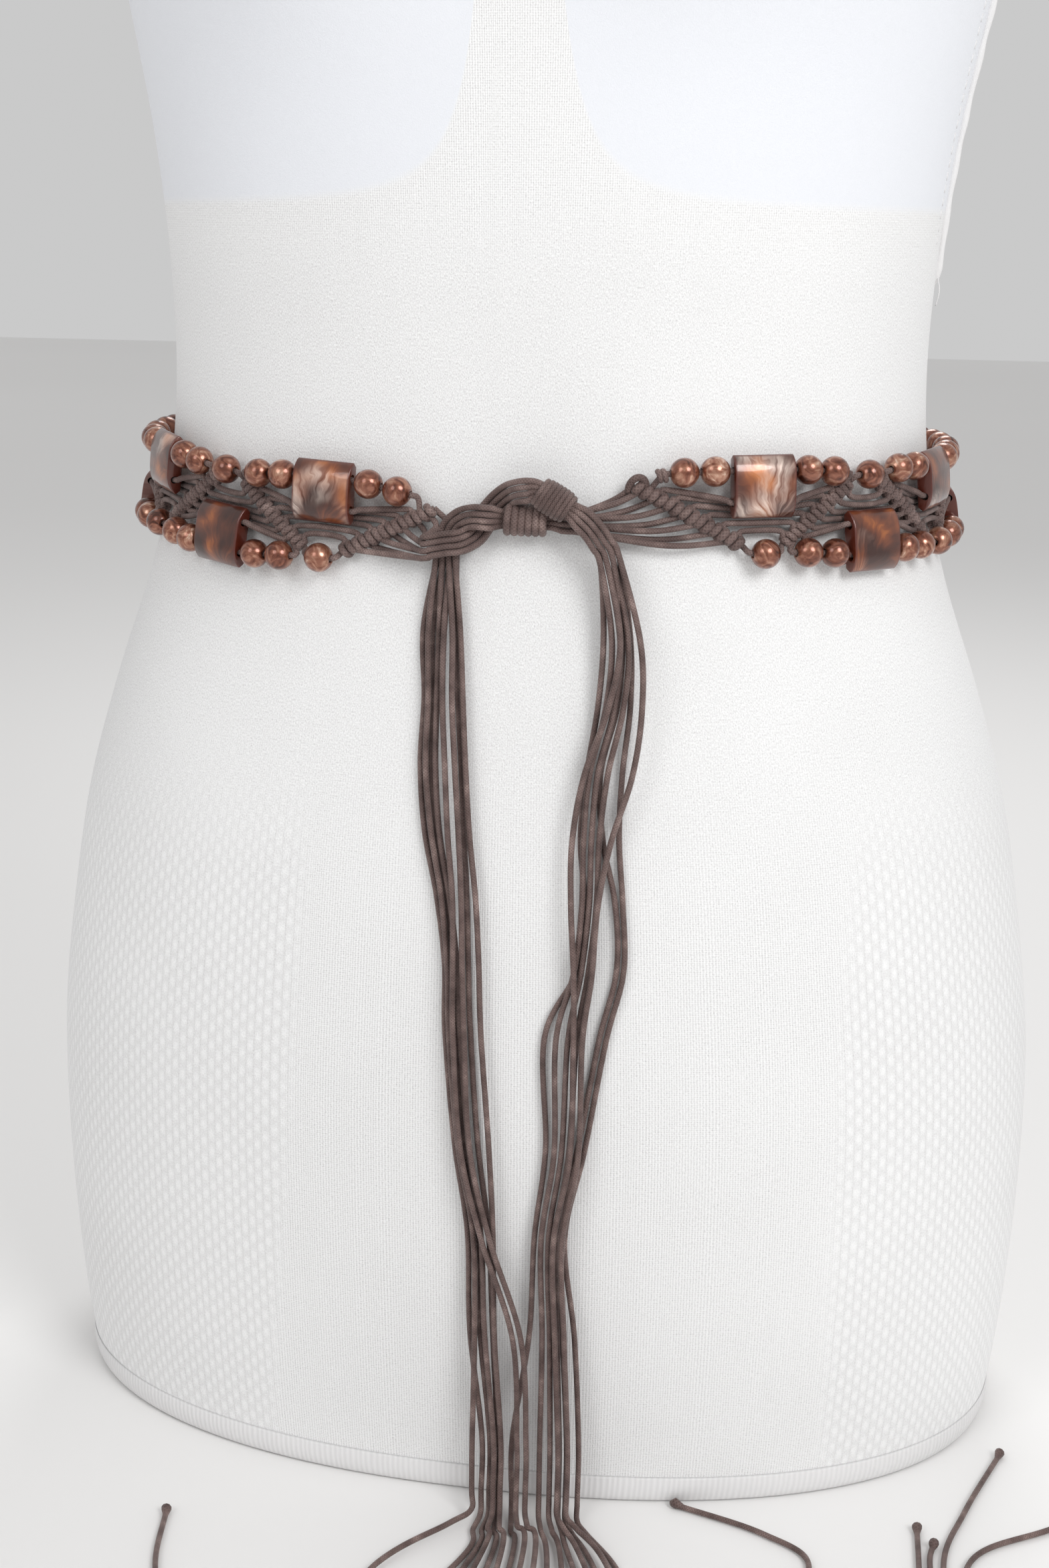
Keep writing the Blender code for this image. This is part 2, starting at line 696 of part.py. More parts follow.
def make_tile(name, centre, side, group):
    """A two-hole tile with a domed front: its holes are filled by the cords it is threaded on."""
    middle, along, up, out = belt_frame(centre, TILE_CENTRE * side, BEAD_LINE)
    rows = []
    for end in (-0.5, 0.5):
        row = []
        for height, depth in TILE_PROFILE:
            place = middle + along * end * TILE_LENGTH * MM
            row.append(place + up * height * MM + out * depth * MM)
        rows.append(row)
    return mesh_object(name, ring_rows(rows, True), group)


def row_start(zone, side):
    """Where the row's cord comes off the bar before it."""
    if zone == 1:
        return [(run, rise * side, out) for run, rise, out in FIRST_ROW_START]
    return [(zone_centre(zone) - FAR_BEAD - BEAD_RADIUS - ROW_OVERRUN, ROW_RISE * side, ROW_OUT)]


def row_end(zone, side):
    """Where the row's cord goes into the bar after it."""
    if zone == ZONES:
        last = ROUND - LAST_BAR_END
        return [(last + run, rise * side, out) for run, rise, out in LAST_ROW_END]
    return [(zone_centre(zone) + FAR_BEAD + BEAD_RADIUS + ROW_OVERRUN, ROW_RISE * side, ROW_OUT)]


def make_bead_row(zone, group):
    """Four beads and a tile threaded on the edge cord, with the tile's second cord."""
    side = zone_side(zone)
    centre = zone_centre(zone)
    points = [belt_point(*place) for place in row_start(zone, side)]
    radii = [CORD_RADIUS] * len(points)
    for place, first, last in ((-FAR_BEAD, 0, 5), (-NEAR_BEAD, 1, 5), (NEAR_BEAD, 0, 5), (FAR_BEAD, 1, 5)):
        bead_points, bead_radii = bead_path(centre + place, side, BEAD_LINE)
        points += bead_points[first:last]
        radii += bead_radii[first:last]
    tail = [belt_point(*place) for place in row_end(zone, side)]
    points += tail
    radii += [CORD_RADIUS] * len(tail)
    name = f"bead_row_{zone:02d}"
    body = tube(name, points, radii, BEAD_SIDES, group)
    tile = make_tile(name + "_tile", centre, side, group)
    rise = knot_rise(1) * side
    hole = (TILE_CENTRE - TILE_HOLE) * side
    start = bar_run(zone, rise) + bar_half_run(zone) + SEAM
    end = bar_run(zone + 1, rise) - bar_half_run(zone + 1) - SEAM
    half = TILE_LENGTH / 2
    inner = [
        belt_point(start, rise, BAR_OUT),
        belt_point(centre - half - SECOND_REACH, hole + SECOND_DROP * side, BEAD_LINE - SECOND_SINK),
        belt_point(centre, hole, BEAD_LINE),
        belt_point(centre + half + SECOND_REACH, hole + SECOND_DROP * side, BEAD_LINE - SECOND_SINK),
        belt_point(end, rise, BAR_OUT),
    ]
    second = tube(name + "_second", inner, [CORD_RADIUS] * len(inner), CORD_SIDES, group)
    return join_solids(body, [tile, second])


def make_single_bead(zone, group):
    """The bead on the leader cord where two bars meet."""
    side = -zone_side(zone)
    centre = zone_centre(zone)
    before, after = bar_ends(zone)[1], bar_ends(zone + 1)[0]
    points, radii = bead_path(centre, side, BEAD_LINE)
    rise = LEADER_RISE * side
    first = belt_point(before[0] + LEADER_RUN, before[1] + rise, BAR_OUT + LEADER_OUT)
    last = belt_point(after[0] - LEADER_RUN, after[1] + rise, BAR_OUT + LEADER_OUT)
    points = [first] + points + [last]
    radii = [CORD_RADIUS] + radii + [CORD_RADIUS]
    return tube(f"single_bead_{zone:02d}", points, radii, BEAD_SIDES, group)


# The tie and its tails

def wrapped_bundle(name, lead, wrap, drop, wrap_radius, turns, group):
    """A bundle of eight cords with a wrapped knot round it."""
    places = list(lead)
    radii = [BUNDLE_RADIUS] * len(lead)
    start, end = Vector(wrap[0]), Vector(wrap[1])
    places.append(tuple(start))
    radii.append(BUNDLE_RADIUS)
    rings = 2 * turns
    for index in range(rings + 1):
        share = WRAP_INSET + (1 - 2 * WRAP_INSET) * index / rings
        places.append(tuple(start.lerp(end, share)))
        radii.append(wrap_radius if index % 2 else wrap_radius - WRAP_GROOVE)
    places.append(tuple(end))
    radii.append(BUNDLE_RADIUS)
    places += list(drop)
    radii += [BUNDLE_RADIUS] * len(drop)
    points = [tie_point(*place) for place in places]
    return tube(name, points, radii, BUNDLE_SIDES, group)


def tie_place(side, depth, height):
    """A point seen square on to the tie: to its side, out towards the viewer, and up."""
    across = Vector((math.cos(TIE_ANGLE), math.sin(TIE_ANGLE), 0.0))
    outward = Vector((math.sin(TIE_ANGLE), -math.cos(TIE_ANGLE), 0.0))
    return (across * side + outward * depth + Vector((0.0, 0.0, height))) * MM


def form_depth(side, height):
    """How far out the form's surface lies at a side and a height, square on to the tie."""
    across = Vector((math.cos(TIE_ANGLE), math.sin(TIE_ANGLE), 0.0))
    outward = Vector((math.sin(TIE_ANGLE), -math.cos(TIE_ANGLE), 0.0))
    low, high = TIE_ANGLE - 1.2, TIE_ANGLE + 1.2
    for _ in range(30):
        middle = (low + high) / 2
        if form_point(middle, height * MM).dot(across) / MM > side:
            high = middle
        else:
            low = middle
    return form_point(low, height * MM).dot(outward) / MM


def tail_point(side, height, layer, loft):
    """A strand's place at a height: its layer rests on the form down to the fullest part."""
    rest = form_depth(side, max(height, BELLY_HEIGHT)) + STRAND_REST
    rise = min(max((height - LOFT_LOW) / (LOFT_HIGH - LOFT_LOW), 0.0), 1.0)
    rest += loft * rise * rise * (3 - 2 * rise)
    return Vector((side, rest + LAYER_STEP * layer, height))


def strand_points(table, layer, runs, number, loft):
    """A strand down the form and out over the table, in millimetres square on to the tie."""
    low = TABLE_CLEAR + STRAND_RADIUS
    lift = low + LAYER_STEP * layer
    hang = [tail_point(row[1 + number], row[0], layer, loft) for row in table]
    foot = hang[-1]
    turn = [
        Vector((foot.x, foot.y + FOOT_START, lift + FOOT_REACH)),
        Vector((foot.x, foot.y + FOOT_REACH, lift + FOOT_RISE)),
    ]
    first = Vector((*runs[0], low + (lift - low) * SETTLED))
    flat = [turn[1].lerp(first, FOOT_SHARE), first]
    flat[0].z = lift
    flat += [Vector((*place, low)) for place in runs[1:]]
    return hang, turn, flat


def with_tip(points, radius):
    """Add a small knot to a strand's end."""
    way = (points[-1] - points[-2]).normalized()
    end = points[-1]
    rise = Vector((0.0, 0.0, TIP_RADIUS - radius))
    lumps = [end - way * TIP_BACK, end - way * TIP_BACK * 0.5 + rise, end]
    radii = [radius] * len(points[:-1]) + [radius, TIP_RADIUS, radius]
    return points[:-1] + lumps, radii


def make_tail(name, bundle, drop, table, layers, runs, loft):
    """Eight strands fused into the end of a bundle."""
    extras = []
    group = bundle.users_collection[0]
    root = Vector(drop[-1])
    way = (Vector(drop[-1]) - Vector(drop[-2])).normalized()
    top = table[0][1:]
    middle = sum(top) / STRANDS
    for number in range(STRANDS):
        share = top[number] - middle
        layer = layers[number]
        inside = root - way * ROOT_DEPTH
        inside += Vector((share * ROOT_SPREAD, 0.0, (layer - 1) * ROOT_RISE))
        edge = root + way * ROOT_REACH
        edge += Vector((share * EDGE_SPREAD, 0.0, (layer - 1) * LAYER_STEP))
        hang, turn, flat = strand_points(table, layer, runs[number], number, loft)
        low_run = smooth_path(flat, 2)
        low_run, radii = with_tip(low_run, STRAND_RADIUS)
        places = hang + turn + low_run
        path = [tie_point(*inside), tie_point(*edge)]
        path += [tie_place(*place) for place in places]
        radii = [STRAND_RADIUS] * (2 + len(hang) + len(turn)) + radii
        extras.append(tube(f"{name}_{number}", path, radii, STRAND_SIDES, group))
    return join_solids(bundle, extras)


# Put together

def build():
    clear_scene()
    parts = make_collection("macrame_belt_on_dress_form")
    materials = make_materials()
    finish(make_form(parts), materials["jersey"])
    finish(make_hem(parts), materials["jersey"])
    for bar in range(1, BARS + 1):
        finish(make_section(bar, parts), materials["cord"])
    for zone in range(1, ZONES + 1):
        finish(make_bead_row(zone, parts), materials["bead"])
        finish(make_single_bead(zone, parts), materials["bead"])
    right = wrapped_bundle("right_end_wrap_and_tail", RIGHT_LEAD, RIGHT_WRAP, RIGHT_DROP,
                           RIGHT_WRAP_RADIUS, RIGHT_WRAP_TURNS, parts)
    right = make_tail("right_end", right, RIGHT_DROP, LEFT_TAIL, LEFT_LAYERS, LEFT_RUNS, 0.0)
    finish(right, materials["cord"])
    left = wrapped_bundle("left_end_wrap_and_tail", LEFT_LEAD, LEFT_WRAP, LEFT_DROP,
                          LEFT_WRAP_RADIUS, LEFT_WRAP_TURNS, parts)
    left = make_tail("left_end", left, LEFT_DROP, RIGHT_TAIL, RIGHT_LAYERS, RIGHT_RUNS, RIGHT_LOFT)
    finish(left, materials["cord"])


build()
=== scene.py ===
# %% [markdown]
# # A knotted cord belt tied on a dress form
#
# The real object is a macrame belt: eight waxed cords, knotted into a zigzag of bars, with round
# pearly beads and two-hole tiles threaded on, tied with a half knot at the front of a limbless
# dress form in a white knitted cover. Each cell below makes one piece of it.
#
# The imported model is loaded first, as a frame of plain solids. Everything made here sits where
# those solids are, in metres, and stands in for them with finer form and real finishes.

import math

import bmesh
import bpy
from mathutils import Matrix, Vector


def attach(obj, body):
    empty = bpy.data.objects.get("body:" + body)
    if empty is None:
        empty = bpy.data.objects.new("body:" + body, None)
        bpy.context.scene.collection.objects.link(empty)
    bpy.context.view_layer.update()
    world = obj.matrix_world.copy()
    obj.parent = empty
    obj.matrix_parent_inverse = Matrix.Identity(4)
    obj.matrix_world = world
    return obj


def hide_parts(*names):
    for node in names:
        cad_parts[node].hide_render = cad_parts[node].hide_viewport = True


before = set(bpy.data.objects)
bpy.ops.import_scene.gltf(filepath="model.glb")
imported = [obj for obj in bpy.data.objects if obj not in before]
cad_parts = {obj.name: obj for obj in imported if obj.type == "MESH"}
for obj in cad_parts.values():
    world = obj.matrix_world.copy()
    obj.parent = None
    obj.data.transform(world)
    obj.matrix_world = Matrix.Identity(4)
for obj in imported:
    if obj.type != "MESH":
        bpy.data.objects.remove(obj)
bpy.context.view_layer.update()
MM = 0.001
print("frame loaded with", len(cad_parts), "solids")

# %% [markdown]
# ## The camera
#
# The view is that of someone standing a step away and looking a little down at the tie. The three
# axes of the view are worked out from its tilt, turn and roll, and turned by the angle at which the
# form stands, so the tie is seen square on.

# %% Camera
TIE_ANGLE = math.radians(9.0)
EYE_BACK, EYE_HEIGHT = 0.806, 0.4443
LOOK_DOWN = math.radians(14.5)
LOOK_TURN = math.radians(0.50)
LOOK_ROLL = math.radians(-0.8)
LENS_MM, SENSOR_MM = 50.0, 36.0

turn = Matrix.Rotation(LOOK_TURN + TIE_ANGLE, 3, "Z")
forward = turn @ Vector((0.0, math.cos(LOOK_DOWN), -math.sin(LOOK_DOWN)))
right = turn @ Vector((1.0, 0.0, 0.0))
roll = Matrix.Rotation(LOOK_ROLL, 3, forward)
right = roll @ right
up = right.cross(forward)
eye = Matrix.Rotation(TIE_ANGLE, 3, "Z") @ Vector((0.0, -EYE_BACK, EYE_HEIGHT))

camera_data = bpy.data.cameras.new("camera")
camera_data.lens = LENS_MM
camera_data.sensor_width = SENSOR_MM
camera_data.sensor_fit = "AUTO"
camera_data.clip_start = 0.01
camera = bpy.data.objects.new("camera", camera_data)
bpy.context.scene.collection.objects.link(camera)
axes = Matrix((right, up, -forward)).transposed()
camera.matrix_world = Matrix.Translation(eye) @ axes.to_4x4()
bpy.context.scene.camera = camera
print("camera at", [round(value, 3) for value in eye])

# %% [markdown]
# ## Colours and shader nodes
#
# Colours are easiest to pick as hex values from a swatch, but shaders work in linear light, so one
# function turns one into the other. A second small function adds a node of any kind with its
# settings and links, which keeps each material below short enough to read.

# %% Colour and node helpers
HEX_STEPS = 255


def linear(code):
    """An sRGB hex colour as linear red, green, blue and alpha."""
    made = []
    for start in (1, 3, 5):
        value = int(code[start:start + 2], 16) / HEX_STEPS
        made.append(value / 12.92 if value <= 0.04045 else ((value + 0.055) / 1.055) ** 2.4)
    return (*made, 1.0)


def output_of(value):
    """The first output in use of a node. Anything else is given back as it is."""
    if isinstance(value, bpy.types.Node):
        return next(socket for socket in value.outputs if socket.enabled)
    return value


def add_node(material, kind, inputs=(), stops=(), **settings):
    """Add a shader node with its settings, inputs and links.

    Inputs go in order or by name. Each is a value, or the socket or node that feeds it.
    Stops are the places and hex colours of a colour ramp.
    """
    tree = material.node_tree
    node = tree.nodes.new("ShaderNode" + kind)
    for name, value in settings.items():
        setattr(node, name, value)
    for name, value in inputs.items() if isinstance(inputs, dict) else enumerate(inputs):
        value = output_of(value)
        if isinstance(value, bpy.types.NodeSocket):
            tree.links.new(value, node.inputs[name])
        else:
            node.inputs[name].default_value = value
    while stops and len(node.color_ramp.elements) < len(stops):
        node.color_ramp.elements.new(0.5)
    for index, (place, code) in enumerate(stops):
        node.color_ramp.elements[index].position = place
        node.color_ramp.elements[index].color = linear(code)
    return node


def new_material(name, **values):
    """A material with its Principled shader's plain values set."""
    material = bpy.data.materials.new(name)
    material.use_nodes = True
    shader = material.node_tree.nodes["Principled BSDF"]
    for socket, value in values.items():
        shader.inputs[socket.replace("_", " ")].default_value = value
    return material


def finish_surface(material, colour, height=None, strength=0.5, depth=0.0004):
    """Join a colour to a material's shader, and a relief of some depth in metres."""
    tree = material.node_tree
    shader = tree.nodes["Principled BSDF"]
    tree.links.new(output_of(colour), shader.inputs["Base Color"])
    if height:
        relief = add_node(material, "Bump", {
            "Strength": strength, "Distance": depth, "Height": height})
        tree.links.new(relief.outputs["Normal"], shader.inputs["Normal"])


print("white reads as", linear("#ffffff")[:3])

# %% [markdown]
# ## The form's cover: a fine knit with panels
#
# The cover is a white polyester and cotton jersey, knitted in panels as body-shaping cloth is. The
# bust is smooth and fine, in a slightly blue white, with a wedge of rib between its halves. Over
# the hips lies a basket knit, with 3 mm cells in columns that part in thin lines. The rest is a
# fine rib, 0.9 mm wide, which wear has raised to a nap at the waist. Each pattern is a wave or a
# noise of real size, and masks made from the place on the form choose between them. Each pattern's
# height also sets the colour, so its grooves and the basket's parting lines are painted darker as
# painted shade, and a large grey mottle adds more painted shade. The rib and its courses are too
# fine for a whole view, so they are drawn softly and show from close by.

# %% Knit sizes and coordinates
RIB_MM = 0.9
COURSE_MM = 0.75
BASKET_COLUMN_MM = 3.0
BASKET_ROW_MM = 3.4
HEM_RIB_MM = 2.0
FULL_TURN = 2 * math.pi


def wave(material, value, spacing):
    """A wave from -1 to 1 with a real spacing in millimetres."""
    turned = add_node(material, "Math", [value, FULL_TURN / spacing], operation="MULTIPLY")
    return add_node(material, "Math", [turned], operation="SINE")


def flat_places(material):
    """The flat coordinates of a piece in millimetres: both in one, across and along."""
    flat = add_node(material, "UVMap", uv_map="flat_mm")
    parts = add_node(material, "SeparateXYZ", [flat])
    return flat, parts.outputs["X"], parts.outputs["Y"]


def object_place(material):
    """The place in metres on a piece, for patterns that don't follow its cloth."""
    return add_node(material, "TexCoord").outputs["Object"]


cover_knit = new_material(
    "white_panelled_jersey", Roughness=0.85, Sheen_Weight=0.2, Sheen_Roughness=0.5,
    Specular_IOR_Level=0.3)
knit_flat, knit_across, knit_along = flat_places(cover_knit)
knit_place = object_place(cover_knit)
knit_axes = add_node(cover_knit, "SeparateXYZ", [knit_place])
to_side, to_back, to_top = [knit_axes.outputs[axis] for axis in "XYZ"]
print("knit: ribs", RIB_MM, "mm, basket columns", BASKET_COLUMN_MM, "mm")

# %% Where each knit lies
# The smooth bust starts at this height in metres, and higher towards the wedge's middle
BUST_LOW, WEDGE_SIDE = 0.4465, 0.006
WEDGE_WIDTH, WEDGE_ROUND = 0.0000125, 0.00001
from_wedge = add_node(cover_knit, "Math", [to_side, WEDGE_SIDE], operation="SUBTRACT")
from_wedge = add_node(cover_knit, "Math", [from_wedge], operation="ABSOLUTE")
square = add_node(cover_knit, "Math", [from_wedge, from_wedge, WEDGE_ROUND],
                  operation="MULTIPLY_ADD")
wedge = add_node(cover_knit, "Math", [WEDGE_WIDTH, square], operation="DIVIDE")
bust_edge = add_node(cover_knit, "Math", [wedge, BUST_LOW], operation="ADD")
over_bust_edge = add_node(cover_knit, "Math", [to_top, bust_edge], operation="SUBTRACT")

# The basket knit starts beside the left hip's slanting line, the right hip's and the back's
LEFT_HIP_SLANT, LEFT_HIP_SIDE, RIGHT_HIP_SIDE, BACK_HIP_SIDE = 0.08, -0.076, 0.114, 0.09
left_line = add_node(cover_knit, "Math", [to_top, LEFT_HIP_SLANT, LEFT_HIP_SIDE],
                     operation="MULTIPLY_ADD")
left_hip = add_node(cover_knit, "Math", [left_line, to_side], operation="SUBTRACT")
right_hip = add_node(cover_knit, "Math", [to_side, RIGHT_HIP_SIDE], operation="SUBTRACT")
front_hips = add_node(cover_knit, "Math", [left_hip, right_hip], operation="MAXIMUM")
either_side = add_node(cover_knit, "Math", [to_side], operation="ABSOLUTE")
back_hips = add_node(cover_knit, "Math", [either_side, BACK_HIP_SIDE], operation="SUBTRACT")

# Each mask rises smoothly from 0 at its first distance to 1 at its second, in metres
masks = {}
for name, value, low, high in (
        ("bust", over_bust_edge, 0.0, 0.004),
        ("back", to_back, -0.01, 0.01),
        ("over hips", to_top, 0.22, 0.30),
        ("nap starts", to_top, 0.20, 0.31),
        ("nap ends", to_top, 0.42, 0.46)):
    masks[name] = add_node(cover_knit, "MapRange", {
        "Value": value, "From Min": low, "From Max": high}, interpolation_type="SMOOTHSTEP")
HIP_EDGE = 0.012
hips = add_node(cover_knit, "Mix", {"Factor": masks["back"], "A": front_hips, "B": back_hips})
beside_line = add_node(cover_knit, "MapRange", {
    "Value": hips, "From Min": 0.0, "From Max": HIP_EDGE}, interpolation_type="SMOOTHSTEP")
under_waist = add_node(cover_knit, "Math", [1.0, masks["over hips"]], operation="SUBTRACT")
hip_mask = add_node(cover_knit, "Math", [beside_line, under_waist], operation="MULTIPLY")
under_bust = add_node(cover_knit, "Math", [1.0, masks["nap ends"]], operation="SUBTRACT")
nap_mask = add_node(cover_knit, "Math", [masks["nap starts"], under_bust], operation="MULTIPLY")
print("the smooth bust starts", BUST_LOW, "m up")

# %% Knit patterns, each as a height from about 0 to 1
NAP_STRETCH = (2.2, 1.5, 1.0)
stretched = add_node(cover_knit, "VectorMath", [knit_flat, NAP_STRETCH], operation="MULTIPLY")
nap = add_node(cover_knit, "TexNoise", {"Vector": stretched, "Scale": 1.0, "Detail": 3.0})
uneven = add_node(cover_knit, "Math", [nap, 0.5], operation="SUBTRACT")

rib = add_node(cover_knit, "Math", [wave(cover_knit, knit_across, RIB_MM), 0.13, 0.53],
               operation="MULTIPLY_ADD")
rib = add_node(cover_knit, "Math", [wave(cover_knit, knit_along, COURSE_MM), 0.07, rib],
               operation="MULTIPLY_ADD")
rib = add_node(cover_knit, "Math", [uneven, 0.7, rib], operation="MULTIPLY_ADD")

columns = wave(cover_knit, knit_across, 2 * BASKET_COLUMN_MM)
rows = wave(cover_knit, knit_along, 2 * BASKET_ROW_MM)
block = add_node(cover_knit, "Math", [columns, rows], operation="MULTIPLY")
column = add_node(cover_knit, "Math", [columns], operation="ABSOLUTE")
column = add_node(cover_knit, "Math", [column, 0.3], operation="POWER")
basket = add_node(cover_knit, "Math", [column, 0.27, 0.28], operation="MULTIPLY_ADD")
basket = add_node(cover_knit, "Math", [block, 0.08, basket], operation="MULTIPLY_ADD")
basket = add_node(cover_knit, "Math", [uneven, 0.5, basket], operation="MULTIPLY_ADD")
print("patterns: rib, basket and nap")

# %% Knit colour and relief
SMOOTH_KNIT = 0.56
# Noise scales in steps a metre: the fine fuzz, and a large grey mottle of painted shade
FUZZ_SCALE, PAINTED_SHADE_MOTTLE_SCALE = 2400.0, 7.0
knit_height = rib
for knit, mask in ((basket, hip_mask), (nap, nap_mask), (SMOOTH_KNIT, masks["bust"])):
    knit_height = add_node(cover_knit, "Mix", {"Factor": mask, "A": knit_height, "B": knit})
fuzz = add_node(cover_knit, "TexNoise", {
    "Vector": knit_place, "Scale": FUZZ_SCALE, "Detail": 2.0})
knit_height = add_node(cover_knit, "Math", [fuzz, 0.35, knit_height], operation="MULTIPLY_ADD")
# A large soft grey mottle darkens the colour here and there: painted shade
painted_shade_mottle = add_node(cover_knit, "TexNoise", {
    "Vector": knit_place, "Scale": PAINTED_SHADE_MOTTLE_SCALE, "Detail": 3.0})
# The knit's height also sets its colour, so its grooves and the basket's parting lines are painted
# darker: painted shade
knit_light = add_node(cover_knit, "Math", [painted_shade_mottle, 0.25, knit_height], operation="MULTIPLY_ADD")
knit_colour = add_node(cover_knit, "ValToRGB", [knit_light], (
    (0.46, "#c2c1c2"), (0.64, "#dcdbdb"), (0.80, "#e8e8e8"), (0.96, "#f4f4f4")))

# A Mix node's colour inputs stand after its plain ones, so they go by number
MIX_SHARE, MIX_FIRST, MIX_SECOND = 0, 6, 7
tint_share = add_node(cover_knit, "Math", [masks["bust"], 0.7], operation="MULTIPLY")
bust_tint = add_node(cover_knit, "Mix", {
    MIX_SHARE: tint_share, MIX_FIRST: knit_colour, MIX_SECOND: linear("#e4e7ee")},
    data_type="RGBA")
finish_surface(cover_knit, bust_tint, knit_height)

hem_knit = new_material("white_rib_knit_hem", Roughness=0.85, Specular_IOR_Level=0.3)
_, hem_across, _ = flat_places(hem_knit)
# The rib's height also sets its colour, so its grooves are painted darker: painted shade
hem_light = add_node(hem_knit, "Math", [wave(hem_knit, hem_across, HEM_RIB_MM), 0.3, 0.5],
                     operation="MULTIPLY_ADD")
hem_colour = add_node(hem_knit, "ValToRGB", [hem_light], ((0.0, "#dbdada"), (1.0, "#e8e7e7")))
finish_surface(hem_knit, hem_colour, hem_light)
print("made", cover_knit.name, "and", hem_knit.name)

# %% [markdown]
# ## The cord: waxed braided cotton
#
# The belt is made from 2 mm waxed cotton cord in a taupe brown. Its cover is a fine tubular braid,
# so the surface shows small slanting stitches in two directions, about 1 mm long. Wax gives a
# soft shine on the high points, and these are also painted lighter and the grooves darker: painted
# sheen and shade. The two crossed waves use the cord's own coordinates: once round it, and along
# it in millimetres.

# %% Waxed cord material
CORD_MM = 2.0
BRAID_STRANDS = 10.0
BRAID_STITCH_MM = 1.0
BRAID_DEPTH = 0.00014
CORD_SHIFT_SCALE, CORD_FUZZ_SCALE = 160.0, 2600.0

waxed_cord = new_material(
    "taupe_waxed_cotton_cord", Roughness=0.58, Specular_IOR_Level=0.45, Sheen_Weight=0.15,
    Sheen_Roughness=0.4)
_, around, along_cord = flat_places(waxed_cord)
round_phase = add_node(waxed_cord, "Math", [around, BRAID_STRANDS / 2 * FULL_TURN],
                       operation="MULTIPLY")
along_phase = add_node(waxed_cord, "Math", [along_cord, FULL_TURN / BRAID_STITCH_MM],
                       operation="MULTIPLY")
crossed = []
for operation in ("ADD", "SUBTRACT"):
    phase = add_node(waxed_cord, "Math", [round_phase, along_phase], operation=operation)
    crossed.append(add_node(waxed_cord, "Math", [phase], operation="SINE"))
braid = add_node(waxed_cord, "Math", crossed, operation="MAXIMUM")
cord_place = object_place(waxed_cord)
cord_shift = add_node(waxed_cord, "TexNoise", {
    "Vector": cord_place, "Scale": CORD_SHIFT_SCALE, "Detail": 3.0})
cord_fuzz = add_node(waxed_cord, "TexNoise", {
    "Vector": cord_place, "Scale": CORD_FUZZ_SCALE, "Detail": 2.0})
cord_light = add_node(waxed_cord, "Math", [cord_fuzz, 0.35, cord_shift], operation="MULTIPLY_ADD")
# The braid's crests are painted lighter and its grooves darker: painted sheen and shade
cord_light = add_node(waxed_cord, "Math", [braid, 0.11, cord_light], operation="MULTIPLY_ADD")
cord_colour = add_node(waxed_cord, "ValToRGB", [cord_light], (
    (0.35, "#43332f"), (0.62, "#5e4b47"), (0.85, "#75615c"), (1.0, "#947f79")))
cord_height = add_node(waxed_cord, "Math", [cord_fuzz, 0.5, braid], operation="MULTIPLY_ADD")
finish_surface(waxed_cord, cord_colour, cord_height, 0.6, BRAID_DEPTH)
print("braid stitches", BRAID_STITCH_MM, "mm long on a", CORD_MM, "mm cord")

# %% [markdown]
# ## The beads: pearl-look acrylic
#
# The round beads are moulded acrylic, 9.8 mm across, with pearl pigment stirred in: coppery brown
# with paler gold swirls and reddish depths. Acrylic has an index of refraction of 1.49 and a smooth
# skin, so soft lamps show as crisp highlights. The pigment gives a soft metallic glow below it,
# which a part-metallic base under a clear coat copies. The swirls come from a warped noise whose
# finest folds are about as wide as the real ones, 1 to 3 mm.

# %% Pearl bead material
ACRYLIC_IOR = 1.49
SWIRL_SCALE, BEAD_CLOUD_SCALE = 190.0, 75.0
MM_PER_M = 1000

pearl_bead = new_material(
    "copper_pearl_acrylic", Roughness=0.28, Metallic=0.58, IOR=ACRYLIC_IOR,
    Specular_IOR_Level=0.5, Coat_Weight=0.7, Coat_Roughness=0.12)
bead_place = object_place(pearl_bead)
bead_swirl = add_node(pearl_bead, "TexNoise", {
    "Vector": bead_place, "Scale": SWIRL_SCALE, "Detail": 4.0, "Roughness": 0.5,
    "Distortion": 2.2})
bead_cloud = add_node(pearl_bead, "TexNoise", {
    "Vector": bead_place, "Scale": BEAD_CLOUD_SCALE, "Detail": 1.0})
swirl_share = add_node(pearl_bead, "Math", [bead_swirl, 0.75], operation="MULTIPLY")
bead_mix = add_node(pearl_bead, "Math", [bead_cloud, 0.35, swirl_share], operation="MULTIPLY_ADD")
bead_colour = add_node(pearl_bead, "ValToRGB", [bead_mix], (
    (0.40, "#48200f"), (0.49, "#743f2c"), (0.59, "#935d47"), (0.70, "#ba8c74"), (0.80, "#ecd0bc")))
finish_surface(pearl_bead, bead_colour)
print("bead swirls at", round(MM_PER_M / SWIRL_SCALE, 1), "mm, with finer folds in them")

# %% [markdown]
# ## The tiles: pearl-look resin
#
# The square tiles are cast resin made to look like dark mother-of-pearl: a brown body with an amber
# glow where light passes through, and pale silky fibres that fan out like a feather. The fibres are
# a noise in round coordinates about a point below each tile's middle, more to the left on one and
# to the right on the next, so they run out from it in curves. Each tile's flat coordinates start
# 100 mm further on, which tells the tiles apart and lets each have its own clouds. How much pale
# silk a tile shows, and how light its body is, goes by its number: beside the real silk, this is a
# painted reflection of the lamps on some tiles and painted shade on others. A polished clear coat
# gives the broad lamp reflections.

# %% Pearl tile coordinates
RESIN_IOR = 1.54
TILE_STEP_MM = 100.0
# How each tile's pale silk and painted glare change from tile to tile: real silk, with a painted
# reflection on some tiles and painted shade on others
SILK_AND_GLARE_STEP, SILK_AND_GLARE_START = math.radians(110), math.radians(-20)
FAN_SWING_STEP, FAN_SIDE_MM, FAN_BELOW_MM = 2.4, 7.0, 12.0

